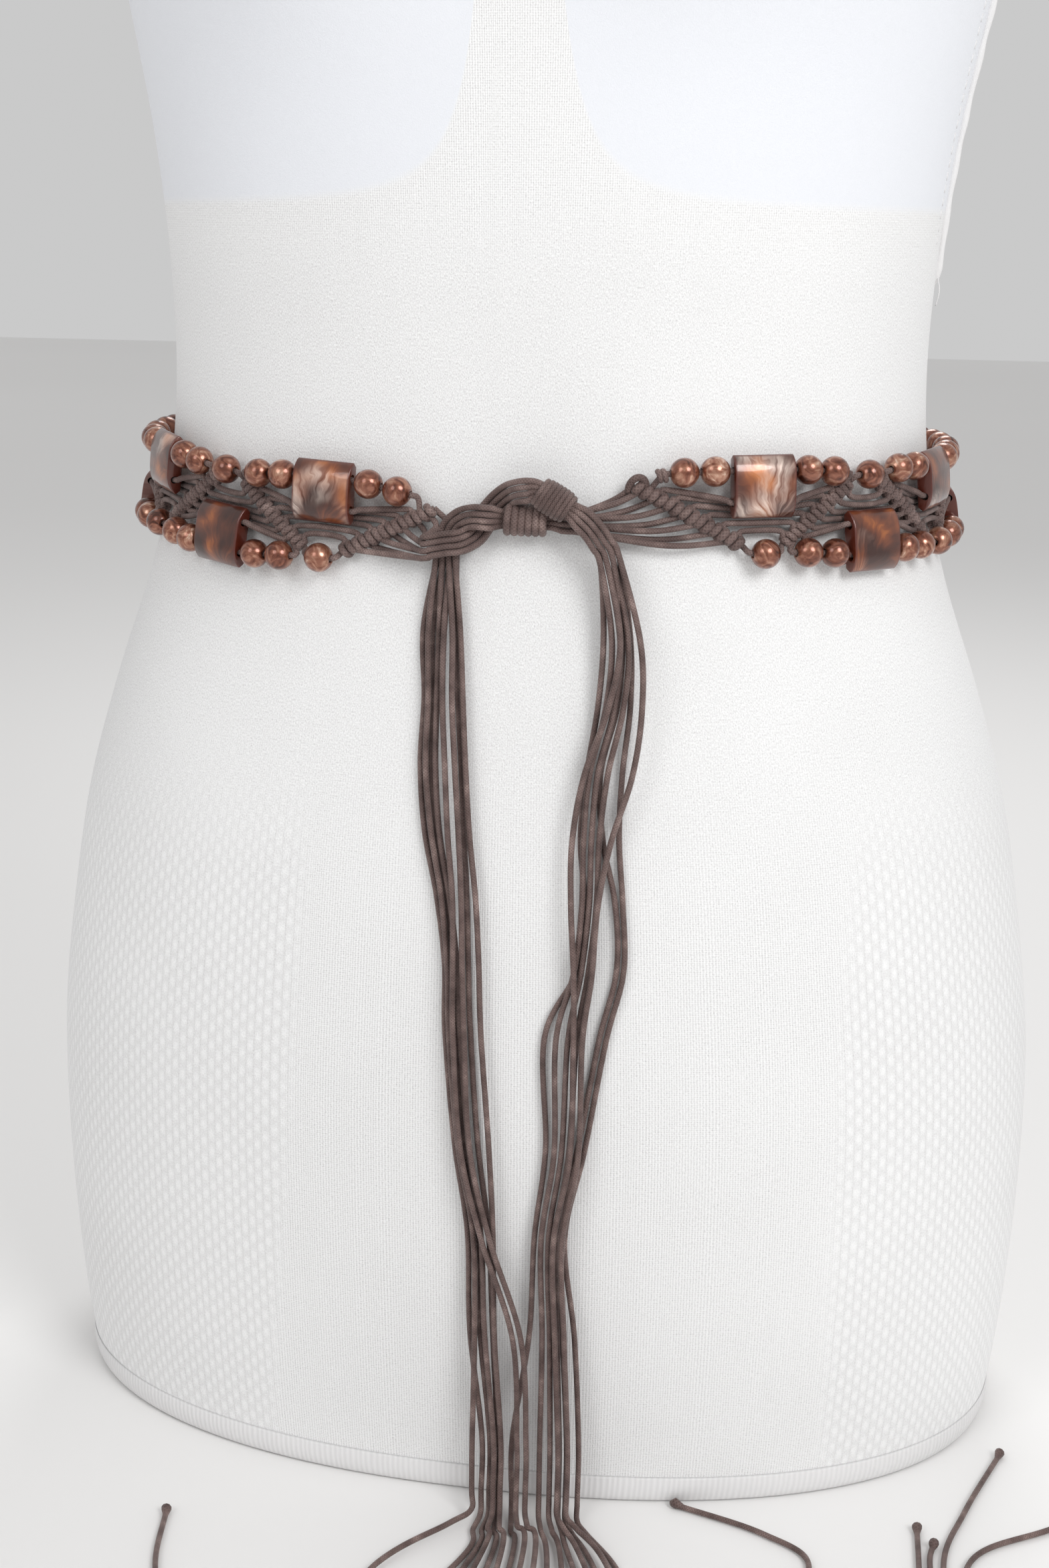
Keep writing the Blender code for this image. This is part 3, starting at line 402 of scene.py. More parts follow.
pearl_tile = new_material(
    "brown_pearl_resin", Roughness=0.32, Metallic=0.22, IOR=RESIN_IOR, Coat_Weight=0.7,
    Coat_Roughness=0.06)
tile_flat, tile_across, tile_up = flat_places(pearl_tile)
tile_count = add_node(pearl_tile, "Math", [tile_across, TILE_STEP_MM], operation="DIVIDE")
tile_number = add_node(pearl_tile, "Math", [tile_count], operation="ROUND")
tile_x = add_node(pearl_tile, "Math", [tile_number, -TILE_STEP_MM, tile_across],
                  operation="MULTIPLY_ADD")
swing = add_node(pearl_tile, "Math", [tile_number, FAN_SWING_STEP], operation="MULTIPLY")
swing = add_node(pearl_tile, "Math", [swing], operation="SINE")
# Each tile's share of pale silk and lighter body, by its number: real silk, with a painted
# reflection on some tiles and painted shade on others
silk_and_glare = add_node(pearl_tile, "Math", [tile_number, SILK_AND_GLARE_STEP, SILK_AND_GLARE_START],
                 operation="MULTIPLY_ADD")
silk_and_glare = add_node(pearl_tile, "Math", [silk_and_glare], operation="SINE")
fan_x = add_node(pearl_tile, "Math", [swing, -FAN_SIDE_MM, tile_x], operation="MULTIPLY_ADD")
fan_y = add_node(pearl_tile, "Math", [tile_up, FAN_BELOW_MM], operation="ADD")
print("the fibres fan out from a point", FAN_BELOW_MM, "mm below each tile's middle")

# %% Pearl tile fibres
fan_angle = add_node(pearl_tile, "Math", [fan_y, fan_x], operation="ARCTAN2")
fan_square = add_node(pearl_tile, "Math", [fan_y, fan_y], operation="MULTIPLY")
fan_square = add_node(pearl_tile, "Math", [fan_x, fan_x, fan_square], operation="MULTIPLY_ADD")
fan_away = add_node(pearl_tile, "Math", [fan_square], operation="SQRT")
bend = add_node(pearl_tile, "TexNoise", {"Vector": tile_flat, "Scale": 0.12, "Detail": 2.0})
fan_turn = add_node(pearl_tile, "Math", [bend, 5.0], operation="MULTIPLY")
fan_turn = add_node(pearl_tile, "Math", [fan_away, 0.10, fan_turn], operation="MULTIPLY_ADD")
fan_turn = add_node(pearl_tile, "Math", [fan_angle, 7.0, fan_turn], operation="MULTIPLY_ADD")
fan_run = add_node(pearl_tile, "Math", [fan_away, 0.07], operation="MULTIPLY")
fan_place = add_node(pearl_tile, "CombineXYZ", [fan_turn, fan_run, tile_number])
fibre = add_node(pearl_tile, "TexNoise", {"Vector": fan_place, "Scale": 1.0, "Detail": 5.0})
cloud = add_node(pearl_tile, "TexNoise", {"Vector": tile_flat, "Scale": 0.085, "Detail": 1.0})
silk_cloud = add_node(pearl_tile, "TexNoise", {"Vector": tile_flat, "Scale": 0.07, "Detail": 1.0})
print("fibres, clouds and silk drawn as noises")

# %% Pearl tile colour
EDGE_HALF_LENGTH, EDGE_HALF_WIDTH = 10.5, 10.25
# Tiles with more painted glare also get a slightly lighter body: painted reflection
body_light = add_node(pearl_tile, "Math", [silk_and_glare, 0.04, cloud], operation="MULTIPLY_ADD")
body_light = add_node(pearl_tile, "Math", [fibre, 0.35, body_light], operation="MULTIPLY_ADD")
body_colour = add_node(pearl_tile, "ValToRGB", [body_light], (
    (0.50, "#3a1a10"), (0.62, "#552a1a"), (0.74, "#7c4123"), (0.88, "#b96c33")))
silk_and_glare_light = add_node(pearl_tile, "Math", [silk_and_glare, 0.15, silk_cloud], operation="MULTIPLY_ADD")
to_edge = []
for place, half in ((tile_x, EDGE_HALF_LENGTH), (tile_up, EDGE_HALF_WIDTH)):
    away = add_node(pearl_tile, "Math", [place], operation="ABSOLUTE")
    to_edge.append(add_node(pearl_tile, "Math", [away, 1 / half], operation="MULTIPLY"))
near_edge = add_node(pearl_tile, "Math", to_edge, operation="MAXIMUM")
tile_masks = []
for value, low, high in ((silk_and_glare_light, 0.48, 0.78), (fibre, 0.30, 0.75), (near_edge, 0.90, 0.98)):
    tile_masks.append(add_node(pearl_tile, "MapRange", {
        "Value": value, "From Min": low, "From Max": high}, interpolation_type="SMOOTHSTEP"))
silk_and_glare_share = add_node(pearl_tile, "Math", tile_masks[:2], operation="MULTIPLY")
# The pale colour is the silk's own, and on some tiles also a painted reflection of the lamps
silk_and_glare_colour = add_node(pearl_tile, "Mix", {
    MIX_SHARE: silk_and_glare_share, MIX_FIRST: body_colour, MIX_SECOND: linear("#e6d3c7")},
    data_type="RGBA")
edge_share = add_node(pearl_tile, "Math", [tile_masks[2], 0.85], operation="MULTIPLY")
tile_colour = add_node(pearl_tile, "Mix", {
    MIX_SHARE: edge_share, MIX_FIRST: silk_and_glare_colour, MIX_SECOND: linear("#571f12")},
    data_type="RGBA")
finish_surface(pearl_tile, tile_colour, fibre, 0.25)
print("made", pearl_tile.name)

# %% [markdown]
# ## The form's shape
#
# The form is an oval tube that swells at the hips, draws in at the waist and carries a soft bust.
# A short table gives the oval's half width and its depth to the front and back at each height, and
# a smooth curve through the rows gives the places between. The belt is drawn on this surface, so
# the same functions serve for the cover and for every knot.

# %% Form tables
ROUNDNESS = 2.25
# Rows of height, half width, depth to the front and depth to the back, in metres
HEIGHT, HALF_WIDTH, FRONT, BACK = 0, 1, 2, 3
FORM_SECTIONS = (
    (0.000, 0.1778, 0.1085, 0.1130),
    (0.010, 0.1808, 0.1105, 0.1160),
    (0.050, 0.1850, 0.1140, 0.1220),
    (0.100, 0.1873, 0.1170, 0.1300),
    (0.150, 0.1863, 0.1190, 0.1330),
    (0.200, 0.1798, 0.1190, 0.1280),
    (0.240, 0.1723, 0.1172, 0.1190),
    (0.280, 0.1603, 0.1136, 0.1090),
    (0.320, 0.1463, 0.1088, 0.1000),
    (0.350, 0.1390, 0.1050, 0.0948),
    (0.390, 0.1354, 0.1024, 0.0918),
    (0.430, 0.1366, 0.1025, 0.0935),
    (0.470, 0.1408, 0.1045, 0.0985),
    (0.510, 0.1478, 0.1060, 0.1035),
    (0.560, 0.1578, 0.1060, 0.1080),
    (0.610, 0.1690, 0.1030, 0.1110),
    (0.650, 0.1740, 0.0970, 0.1090),
    (0.685, 0.1690, 0.0880, 0.1010),
    (0.710, 0.1450, 0.0780, 0.0890),
    (0.730, 0.1080, 0.0690, 0.0760),
    (0.748, 0.0760, 0.0610, 0.0650),
    (0.770, 0.0600, 0.0560, 0.0580),
    (0.800, 0.0560, 0.0540, 0.0550),
    (0.816, 0.0530, 0.0510, 0.0520),
    (0.822, 0.0460, 0.0440, 0.0450),
)
# The bust: two soft mounds, by depth, side, height and how far they spread, in metres
BUST_DEPTH = 0.036
BUST_SIDE = 0.078
BUST_HEIGHT = 0.578
BUST_SPREAD = 0.056
BUST_RISE = 0.056
print("the form has", len(FORM_SECTIONS), "sections")

# %% Form surface


def smooth_value(table, place, column):
    """Read a column of a table at a place between its rows, on a smooth curve."""
    place = min(max(place, table[0][0]), table[-1][0])
    index = 0
    while index < len(table) - 2 and place > table[index + 1][0]:
        index += 1
    low, high = table[index], table[index + 1]
    span = high[0] - low[0]
    step = (place - low[0]) / span
    slope_low = (high[column] - low[column]) / span
    slope_high = slope_low
    if index > 0:
        before = table[index - 1]
        slope_low = (high[column] - before[column]) / (high[0] - before[0])
    if index < len(table) - 2:
        after = table[index + 2]
        slope_high = (after[column] - low[column]) / (after[0] - low[0])
    square, cube = step * step, step * step * step
    return ((2 * cube - 3 * square + 1) * low[column]
            + (cube - 2 * square + step) * span * slope_low
            + (3 * square - 2 * cube) * high[column]
            + (cube - square) * span * slope_high)


def rounded(value):
    """A signed power that squares the oval off a little."""
    return math.copysign(abs(value) ** (2 / ROUNDNESS), value)


def form_point(angle, height):
    """A point on the form. Angle 0 is the front and grows towards +X."""
    across = rounded(math.sin(angle))
    along = rounded(math.cos(angle))
    side = smooth_value(FORM_SECTIONS, height, HALF_WIDTH) * across
    column = FRONT if along > 0 else BACK
    depth = smooth_value(FORM_SECTIONS, height, column) * along
    if along > 0:
        lift = ((height - BUST_HEIGHT) / BUST_RISE) ** 2
        left = math.exp(-((side + BUST_SIDE) / BUST_SPREAD) ** 2 - lift)
        other = math.exp(-((side - BUST_SIDE) / BUST_SPREAD) ** 2 - lift)
        depth += BUST_DEPTH * (left + other) * along
    return Vector((side, -depth, height))


def form_normal(angle, height):
    """The way out of the form at a point."""
    turn_step, rise_step = 0.01, 0.002
    along = form_point(angle + turn_step, height) - form_point(angle - turn_step, height)
    rise = form_point(angle, height + rise_step) - form_point(angle, height - rise_step)
    return along.cross(rise).normalized()


below_bust = [row for row in FORM_SECTIONS if row[HEIGHT] < BUST_HEIGHT]
waist = min(below_bust, key=lambda row: row[HALF_WIDTH])
print("the form is narrowest at", waist[HEIGHT], "m up")

# %% [markdown]
# ## Places on the belt
#
# A knotter lays a belt out flat. Its places are then a run along it, a rise across it and a way
# out from the form, all in millimetres. One function wraps those places round the form, with the
# small sag and lean that the worn belt has. The tie at the front has a level of its own.

# %% Belt coordinates
BAND_HEIGHT = 0.3527
BAND_LEAN = 0.03
# How far the worn belt sags, by its run from the tie, in millimetres
BAND_SAG = (
    (-420.0, 0.0), (-180.0, 0.0), (-150.0, 1.0), (-130.0, 3.2), (-112.0, 4.8), (-92.0, 4.4),
    (-75.0, 3.8), (-60.0, 5.5), (-46.0, 8.0), (-37.0, 9.5), (-10.0, 5.0), (29.0, 0.5), (50.0, -1.0),
    (90.0, -1.0), (112.0, 1.5), (130.0, 0.3), (150.0, 1.0), (180.0, 0.0), (420.0, 0.0),
)
TIE_HEIGHT = 0.357
PATH_START = math.radians(5.2)
PATH_STEPS = 720
FRAME_REACH = 8
# The beads' line: its way out from the form, and its rise to either side of the band's middle
BEAD_LINE = 6.0
BEAD_ROW = 13.5


def band_path():
    """Angles and lengths along the bead line, once round from the tie."""
    angles, lengths = [], []
    total = 0.0
    last = None
    for step in range(PATH_STEPS + 1):
        angle = PATH_START + FULL_TURN * step / PATH_STEPS
        place = form_point(angle, BAND_HEIGHT) + form_normal(angle, BAND_HEIGHT) * BEAD_LINE * MM
        if last is not None:
            total += (place - last).length
        last = place
        angles.append(angle)
        lengths.append(total)
    return angles, lengths


ANGLES, LENGTHS = band_path()
ROUND = LENGTHS[-1] / MM
print("the bead line is", round(ROUND), "mm round")

# %% Places round the form


def angle_at(run):
    """The angle of the form at a run along the belt."""
    turns = math.floor(run / ROUND)
    rest = (run - turns * ROUND) * MM
    low, high = 0, PATH_STEPS
    while high - low > 1:
        middle = (low + high) // 2
        if LENGTHS[middle] > rest:
            high = middle
        else:
            low = middle
    share = (rest - LENGTHS[low]) / (LENGTHS[high] - LENGTHS[low])
    return ANGLES[low] + share * (ANGLES[high] - ANGLES[low]) + turns * FULL_TURN


def belt_point(run, rise, out):
    """A point of the belt from its run, its rise and its way out."""
    angle = angle_at(run)
    from_tie = (run + ROUND / 2) % ROUND - ROUND / 2
    height = BAND_HEIGHT + (rise - smooth_value(BAND_SAG, from_tie, 1)) * MM
    lean = BAND_LEAN * (rise + BEAD_ROW)
    return form_point(angle, height) + form_normal(angle, height) * (out + lean) * MM


def tie_point(run, rise, out):
    """A point of the tie from its run, its rise from the tie's middle and its way out."""
    angle = angle_at(run)
    height = TIE_HEIGHT + rise * MM
    return form_point(angle, height) + form_normal(angle, height) * out * MM


def belt_frame(run, rise, out):
    """Middle and axes of a rigid piece on the belt: along, up and out."""
    middle = belt_point(run, rise, out)
    reach = FRAME_REACH
    along = belt_point(run + reach, rise, out) - belt_point(run - reach, rise, out)
    along.normalize()
    rising = belt_point(run, rise + reach, out) - belt_point(run, rise - reach, out)
    rising = (rising - along * rising.dot(along)).normalized()
    return middle, along, rising, along.cross(rising).normalized()


print("the tie's middle is", TIE_HEIGHT, "m up")

# %% [markdown]
# ## Drawing cord
#
# Cord is drawn as a round tube along a smooth path. A curve object with a bevel would do, but mesh
# code lets many cords share one mesh and carries the flat coordinates that the braid needs: once
# round, and millimetres along. Each ring is turned as little as possible from the one before, so
# the braid doesn't twist by itself. A shape is gathered in a small store of points, faces and flat
# places, and made into one object at the end.

# %% Mesh helpers
CORD_SIDES = 10


def new_store():
    """An empty shape: its points, its faces and the flat place of each corner."""
    return {"points": [], "faces": [], "flats": []}


def smooth_path(points, spacing=1.2):
    """Points on a smooth curve through the given ones, about a spacing apart in millimetres."""
    ends = [points[0] * 2 - points[1]] + list(points) + [points[-1] * 2 - points[-2]]
    made = []
    for index in range(len(points) - 1):
        before, start, end, after = ends[index:index + 4]
        parts = max(1, round((end - start).length / (spacing * MM)))
        for part in range(parts):
            step = part / parts
            square, cube = step * step, step * step * step
            made.append((start * 2 + (end - before) * step
                         + (before * 2 - start * 5 + end * 4 - after) * square
                         + (start * 3 - before - end * 3 + after) * cube) * 0.5)
    made.append(points[-1])
    return made


def path_length(path):
    """The length of a path in millimetres."""
    return sum((after - before).length for before, after in zip(path, path[1:])) / MM


def draw_cord(store, path, radius=CORD_MM / 2, sides=CORD_SIDES):
    """Add a closed cord along a path. The radius is one value or one for each point."""
    radii = radius if isinstance(radius, list) else [radius] * len(path)
    first = len(store["points"])
    way = (path[1] - path[0]).normalized()
    side_way = way.orthogonal().normalized()
    along = 0.0
    flats = []
    for index, place in enumerate(path):
        before = path[max(index - 1, 0)]
        after = path[min(index + 1, len(path) - 1)]
        way = (after - before).normalized()
        side_way = (side_way - way * side_way.dot(way)).normalized()
        cross_way = way.cross(side_way)
        if index:
            along += (place - path[index - 1]).length / MM
        flats.append(along)
        for side in range(sides):
            angle = FULL_TURN * side / sides
            offset = side_way * math.cos(angle) + cross_way * math.sin(angle)
            store["points"].append(place + offset * radii[index] * MM)
    for index in range(len(path) - 1):
        low, high = first + index * sides, first + (index + 1) * sides
        for side in range(sides):
            after = (side + 1) % sides
            store["faces"].append((low + side, low + after, high + after, high + side))
            u_low, u_high = side / sides, (side + 1) / sides
            store["flats"].append(((u_low, flats[index]), (u_high, flats[index]),
                                   (u_high, flats[index + 1]), (u_low, flats[index + 1])))
    last = first + (len(path) - 1) * sides
    for ring, place in ((range(first + sides - 1, first - 1, -1), flats[0]),
                        (range(last, last + sides), flats[-1])):
        store["faces"].append(tuple(ring))
        store["flats"].append(tuple((0.5, place) for _ in range(sides)))


def make_piece(name, store, material, nodes, smooth=True):
    """Make one object of a store and let it stand in for its solids."""
    mesh = bpy.data.meshes.new(name)
    mesh.from_pydata(store["points"], [], store["faces"])
    layer = mesh.uv_layers.new(name="flat_mm")
    flat = [value for corner in store["flats"] for place in corner for value in place]
    layer.data.foreach_set("uv", flat)
    mesh.polygons.foreach_set("use_smooth", [smooth] * len(mesh.polygons))
    mesh.materials.append(material)
    mesh.validate()
    mesh.update()
    piece = bpy.data.objects.new(name, mesh)
    bpy.context.scene.collection.objects.link(piece)
    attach(piece, "root")
    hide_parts(*nodes)
    return piece


print("cord is drawn with", CORD_SIDES, "sides")

# %% [markdown]
# ## The belt's pattern
#
# The belt repeats every 41 mm. In each zone one edge cord carries two beads, a tile and two beads,
# a second cord runs through the tile's other hole, and five cords pass behind and beside the tile.
# Between zones all seven are knotted on the eighth, the leader, in a slanting bar. The leader
# carries one bead where it turns back, so the bars zigzag.

# %% Pattern sizes
FIRST_ZONE = 71.0
LAST_ZONE = 75.0
ZONES = 17
BARS = ZONES + 1
PITCH = (ROUND - FIRST_ZONE - LAST_ZONE) / (ZONES - 1)
FIRST_BAR_START = 29.0
LAST_BAR_END = 36.8
BEAD_RADIUS = 4.9
TILE_LENGTH = 21.0
TILE_CENTRE = 8.35
TILE_HOLE = 5.15
NEAR_BEAD = TILE_LENGTH / 2 + 0.8 + BEAD_RADIUS
FAR_BEAD = NEAR_BEAD + 2 * BEAD_RADIUS + 0.3
BAR_END_GAP = 7.2
BAR_HALF_HEIGHT = 10.5
BAR_OUT = 3.2
KNOTS = 7
# The five inner cords of a zone, as the rise and the way out at the tile's middle
ZONE_CORDS = (
    (3.7, 1.7),
    (1.5, 1.7),
    (-0.7, 1.7),
    (-3.2, 3.1),
    (-5.7, 3.0),
)
TILE_REACH = 9.5
BEHIND_TILE = 2.5


def zone_centre(zone):
    """The run of a zone's middle."""
    return FIRST_ZONE + (zone - 1) * PITCH


def zone_side(zone):
    """+1 where the tile hangs from the top row, -1 where it stands on the bottom row."""
    return 1 if zone % 2 else -1


def bar_ends(bar):
    """Start and end of a bar as run and rise."""
    if bar == 1:
        start = (FIRST_BAR_START, BAR_HALF_HEIGHT)
    else:
        start = (zone_centre(bar - 1) + BAR_END_GAP, -BAR_HALF_HEIGHT * zone_side(bar - 1))
    if bar == BARS:
        end = (ROUND - LAST_BAR_END, BAR_HALF_HEIGHT)
    else:
        end = (zone_centre(bar) - BAR_END_GAP, -BAR_HALF_HEIGHT * zone_side(bar))
    return start, end


def bar_line(bar, share):
    """Run and rise along a bar, from 0 at its start to 1 at its end."""
    start, end = bar_ends(bar)
    return [low + (high - low) * share for low, high in zip(start, end)]


def bar_place(bar, share):
    """A point on a bar's leader cord."""
    return belt_point(*bar_line(bar, share), BAR_OUT)


def bar_length(bar):
    """How long a bar is, straight from end to end, in metres."""
    return (bar_place(bar, 1.0) - bar_place(bar, 0.0)).length


def knot_share(bar, side, index):
    """Where a bar's knot sits, counted from the edge that the zone's beads are on."""
    start, _ = bar_ends(bar)
    share = (2 * index + 1) / (2 * KNOTS)
    return share if start[1] * side > 0 else 1 - share


print("zones are", round(PITCH, 2), "mm apart")

# %% [markdown]
# ## Double half hitches
#
# On each bar every working cord makes a double half hitch: it comes in from one side, goes over the
# leader, round behind it, over it once more and out on the other side. That is one and a half turns
# of a helix round the leader, so the front shows two slanting loops for each cord, 14 on a bar. A
# small unevenness, worked out from the knot's number, keeps the rows from looking machine-made.

# %% Knot paths
LOOP_RADIUS = 1.7
AXIS_SHARE = 0.05
HITCH_TURNS = 1.5
HITCH_STEPS = 22
HITCH_START, HITCH_END = math.radians(158), math.radians(-338)
HITCH_FILL = 0.51
UNEVEN = 0.05


def bar_axes(bar, share):
    """Middle and axes of a bar at a share: along it, to its far side and out of the form."""
    middle = bar_place(bar, share)
    along = bar_place(bar, share + AXIS_SHARE) - bar_place(bar, share - AXIS_SHARE)
    along.normalize()
    run, rise = bar_line(bar, share)
    out = (belt_point(run, rise, BAR_OUT + 2) - belt_point(run, rise, BAR_OUT - 2)).normalized()
    out = (out - along * out.dot(along)).normalized()
    far_side = along.cross(out)
    run_way = belt_point(run + 2, rise, BAR_OUT) - belt_point(run - 2, rise, BAR_OUT)
    if far_side.dot(run_way) < 0:
        far_side = -far_side
    return middle, along, far_side, out


def hitch_path(bar, share):
    """A working cord's path through its double half hitch, from the near side to the far one."""
    middle, along, far_side, out = bar_axes(bar, share)
    spacing = bar_length(bar) / (2 * KNOTS)
    wobble = math.sin(bar * 12.9 + share * 78.2)
    radius = LOOP_RADIUS * (1 + UNEVEN * wobble) * MM
    points = []
    for step in range(HITCH_STEPS + 1):
        part = step / HITCH_STEPS
        angle = HITCH_START + (HITCH_END - HITCH_START) * part
        shift = (part - 0.5) * HITCH_TURNS * spacing + UNEVEN * wobble * spacing
        points.append(middle + along * shift
                      + (far_side * math.cos(angle) + out * math.sin(angle)) * radius)
    return points


def hitch_cord(bar):
    """The cord's radius in a hitch: its loops pull flat and wide, until they touch."""
    return HITCH_FILL * bar_length(bar) / MM / (2 * KNOTS)


sample = hitch_path(2, 0.5)
print("one hitch takes", round(path_length(sample)), "mm")

# %% [markdown]
# ## Cords from bar to bar
#
# Between its knots a working cord runs free for about 40 mm. The path joins the end of one hitch to
# the start of the next through the places where the cord is led: behind the tile, beside it,
# through the tile's inner hole, or along the edge through the beads.

# %% Zone cords
INNER_HOLE_RISE = TILE_CENTRE - TILE_HOLE
CORD_TO_HOLE = 1.6
# The edge cord at its outer bead: how far past the bead, its rise and its way out
EDGE_LEADS = ((1.2, 12.6, 4.9), (-1.0, 13.4, 5.9))
END_ZONE_LEAD = (2.0, 13.1, 5.2)
# The inner cord at the tile's end, before and inside its hole: how far past the tile's end, and out
HOLE_LEADS = ((3.5, 5.0), (-1.0, BEAD_LINE))
# Where a cord that passes beside the tile is held, on either side of the tile's middle
BESIDE_REACH, BESIDE_SHIFT = 4.0, 0.15
# Where a cord leaves its hitch: its reach from the leader and its way out
EXIT_REACH, EXIT_OUT = 3.0, 0.5
# The leader just outside its single bead: the gap, and how far it dips inwards and down
TURN_GAP, TURN_DIP = 0.4, 0.6
LEADER_STEPS = 6


def lead_places(zone, index):
    """The places that one working cord is led through inside a zone."""
    side, centre = zone_side(zone), zone_centre(zone)
    half = TILE_LENGTH / 2
    if index == 0:
        leads = (END_ZONE_LEAD if zone in (1, ZONES) else EDGE_LEADS[0], EDGE_LEADS[1])
        ends = [(FAR_BEAD + BEAD_RADIUS + past, rise, out) for past, rise, out in leads]
        ends += [(NEAR_BEAD, BEAD_ROW, BEAD_LINE), (half, BEAD_ROW, BEAD_LINE)]
    elif index == 1:
        rises = (INNER_HOLE_RISE + CORD_TO_HOLE, INNER_HOLE_RISE)
        ends = [(half + past, rise, out) for (past, out), rise in zip(HOLE_LEADS, rises)]
    else:
        rise, out = ZONE_CORDS[index - 2]
        if out < BEHIND_TILE:
            ends = [(TILE_REACH, rise, out)]
        else:
            ends = [(BESIDE_REACH, rise - BESIDE_SHIFT, out)]
    before = [belt_point(centre - away, rise * side, out) for away, rise, out in ends]
    after = [belt_point(centre + away, rise * side, out) for away, rise, out in reversed(ends)]
    return before + after


def zone_cord_path(zone, index):
    """One working cord from its hitch on a bar to the start of its hitch on the next."""
    side = zone_side(zone)
    first_share = knot_share(zone, side, index)
    last_share = knot_share(zone + 1, side, index)
    led = lead_places(zone, index)
    if index:
        middle, _, far_side, out = bar_axes(zone, first_share)
        led = [middle + (far_side * EXIT_REACH + out * EXIT_OUT) * MM] + led
        middle, _, far_side, out = bar_axes(zone + 1, last_share)
        led.append(middle + (out * EXIT_OUT - far_side * EXIT_REACH) * MM)
    return hitch_path(zone, first_share), led, hitch_path(zone + 1, last_share)


def working_cord(zone, index):
    """The path of a working cord through its hitch and on to just before the next one."""
    leaving, led, entering = zone_cord_path(zone, index)
    free = smooth_path([leaving[-2], leaving[-1]] + led + [entering[0], entering[1]])
    skip = 1
    while (free[skip] - leaving[-1]).length > (free[skip + 1] - leaving[-1]).length:
        skip += 1
    return leaving[:-1] + free[skip:]


def turn_places(zone, way):
    """The leader in a zone's single bead and just outside it, before (-1) or after (+1) it."""
    centre, side = zone_centre(zone), -zone_side(zone)
    past = centre + (BEAD_RADIUS + TURN_GAP) * way
    return [belt_point(centre, BEAD_ROW * side, BEAD_LINE),
            belt_point(past, (BEAD_ROW - TURN_DIP) * side, BEAD_LINE - TURN_DIP)]


def leader_cord(bar):
    """The leader's path from the bead before a bar, along the bar, to the bead after it."""
    points = [bar_place(bar, step / LEADER_STEPS) for step in range(LEADER_STEPS + 1)]
    if bar > 1:
        points = turn_places(bar - 1, 1) + points
    if bar < BARS:
        points += reversed(turn_places(bar, -1))
    return smooth_path(points, 1.0)


print("a working cord runs", round(path_length(working_cord(2, 3))), "mm from bar to bar")

# %% [markdown]
# ## The cords of each section
#
# A section is one bar with the cords that leave it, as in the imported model. The first bar has two
# details of its own: the leader's slack loop at its head, and a turn and a half of cord that stops
# the first bead.

# %% Cord sections
# The slack in the leader's first loop: run and rise from the first bar's start, and way out
SLACK_LOOP = (
    (-2.2, -1.8, 2.6), (-2.0, 0.2, 3.8), (-0.8, 1.9, 4.8), (1.0, 2.6, 5.2), (2.7, 1.8, 5.0),
    (3.5, 0.0, 4.2), (3.6, -1.8, 2.6),
)
SLACK_RADIUS = 1.2
LEADER_SIDES = 8
# A turn and a half of cord before the first bead: ring radius, length along and cord radius
STOP_RING, STOP_LENGTH, STOP_CORD = 1.5, 2.6, 0.95
STOP_TURNS, STOP_STEPS = 1.5, 24
STOP_RISE, STOP_OUT, STOP_GAP = 13.0, 5.3, 0.1

section_stores = {bar: new_store() for bar in range(1, BARS + 1)}
for bar, store in section_stores.items():
    draw_cord(store, leader_cord(bar), CORD_MM / 2, LEADER_SIDES)
    if bar <= ZONES:
        for index in range(KNOTS):
            path = working_cord(bar, index)
            radii = [hitch_cord(bar)] * HITCH_STEPS
            radii += [CORD_MM / 2] * (len(path) - HITCH_STEPS)
            draw_cord(store, path, radii)
for index in range(KNOTS):
    draw_cord(section_stores[BARS], hitch_path(BARS, (2 * index + 1) / (2 * KNOTS)),
              hitch_cord(BARS))
slack = [belt_point(FIRST_BAR_START + run, BAR_HALF_HEIGHT + rise, out)
         for run, rise, out in SLACK_LOOP]
draw_cord(section_stores[1], smooth_path(slack, 0.6), SLACK_RADIUS)
stop_end = zone_centre(1) - FAR_BEAD - BEAD_RADIUS - STOP_CORD - STOP_GAP
_, _, stop_rise, stop_out = belt_frame(stop_end, STOP_RISE, STOP_OUT)
stop = []
for step in range(STOP_STEPS + 1):
    share = step / STOP_STEPS
    angle = FULL_TURN * STOP_TURNS * share
    place = belt_point(stop_end - STOP_LENGTH * (1 - share), STOP_RISE, STOP_OUT)
    stop.append(place + (stop_rise * math.cos(angle) + stop_out * math.sin(angle)) * STOP_RING * MM)
draw_cord(section_stores[1], stop, STOP_CORD)
print("cords drawn in", len(section_stores), "sections")

# %% [markdown]
# ## The tie
#
# At each end the eight cords gather into a bundle and a wrapping cord binds it: six turns on the
# right end, eight on the left. The left bundle then passes below and behind the right one, comes up
# over it and hangs in front, which makes a half knot. Eight cords leave each wrap and hang to the
# table. A cord keeps its place in the bundle by two small offsets: to the right-hand side of the
# way it runs, and out from the form.

# %% Tie tables
STRANDS = 8
LAYER_STEP = 2.3
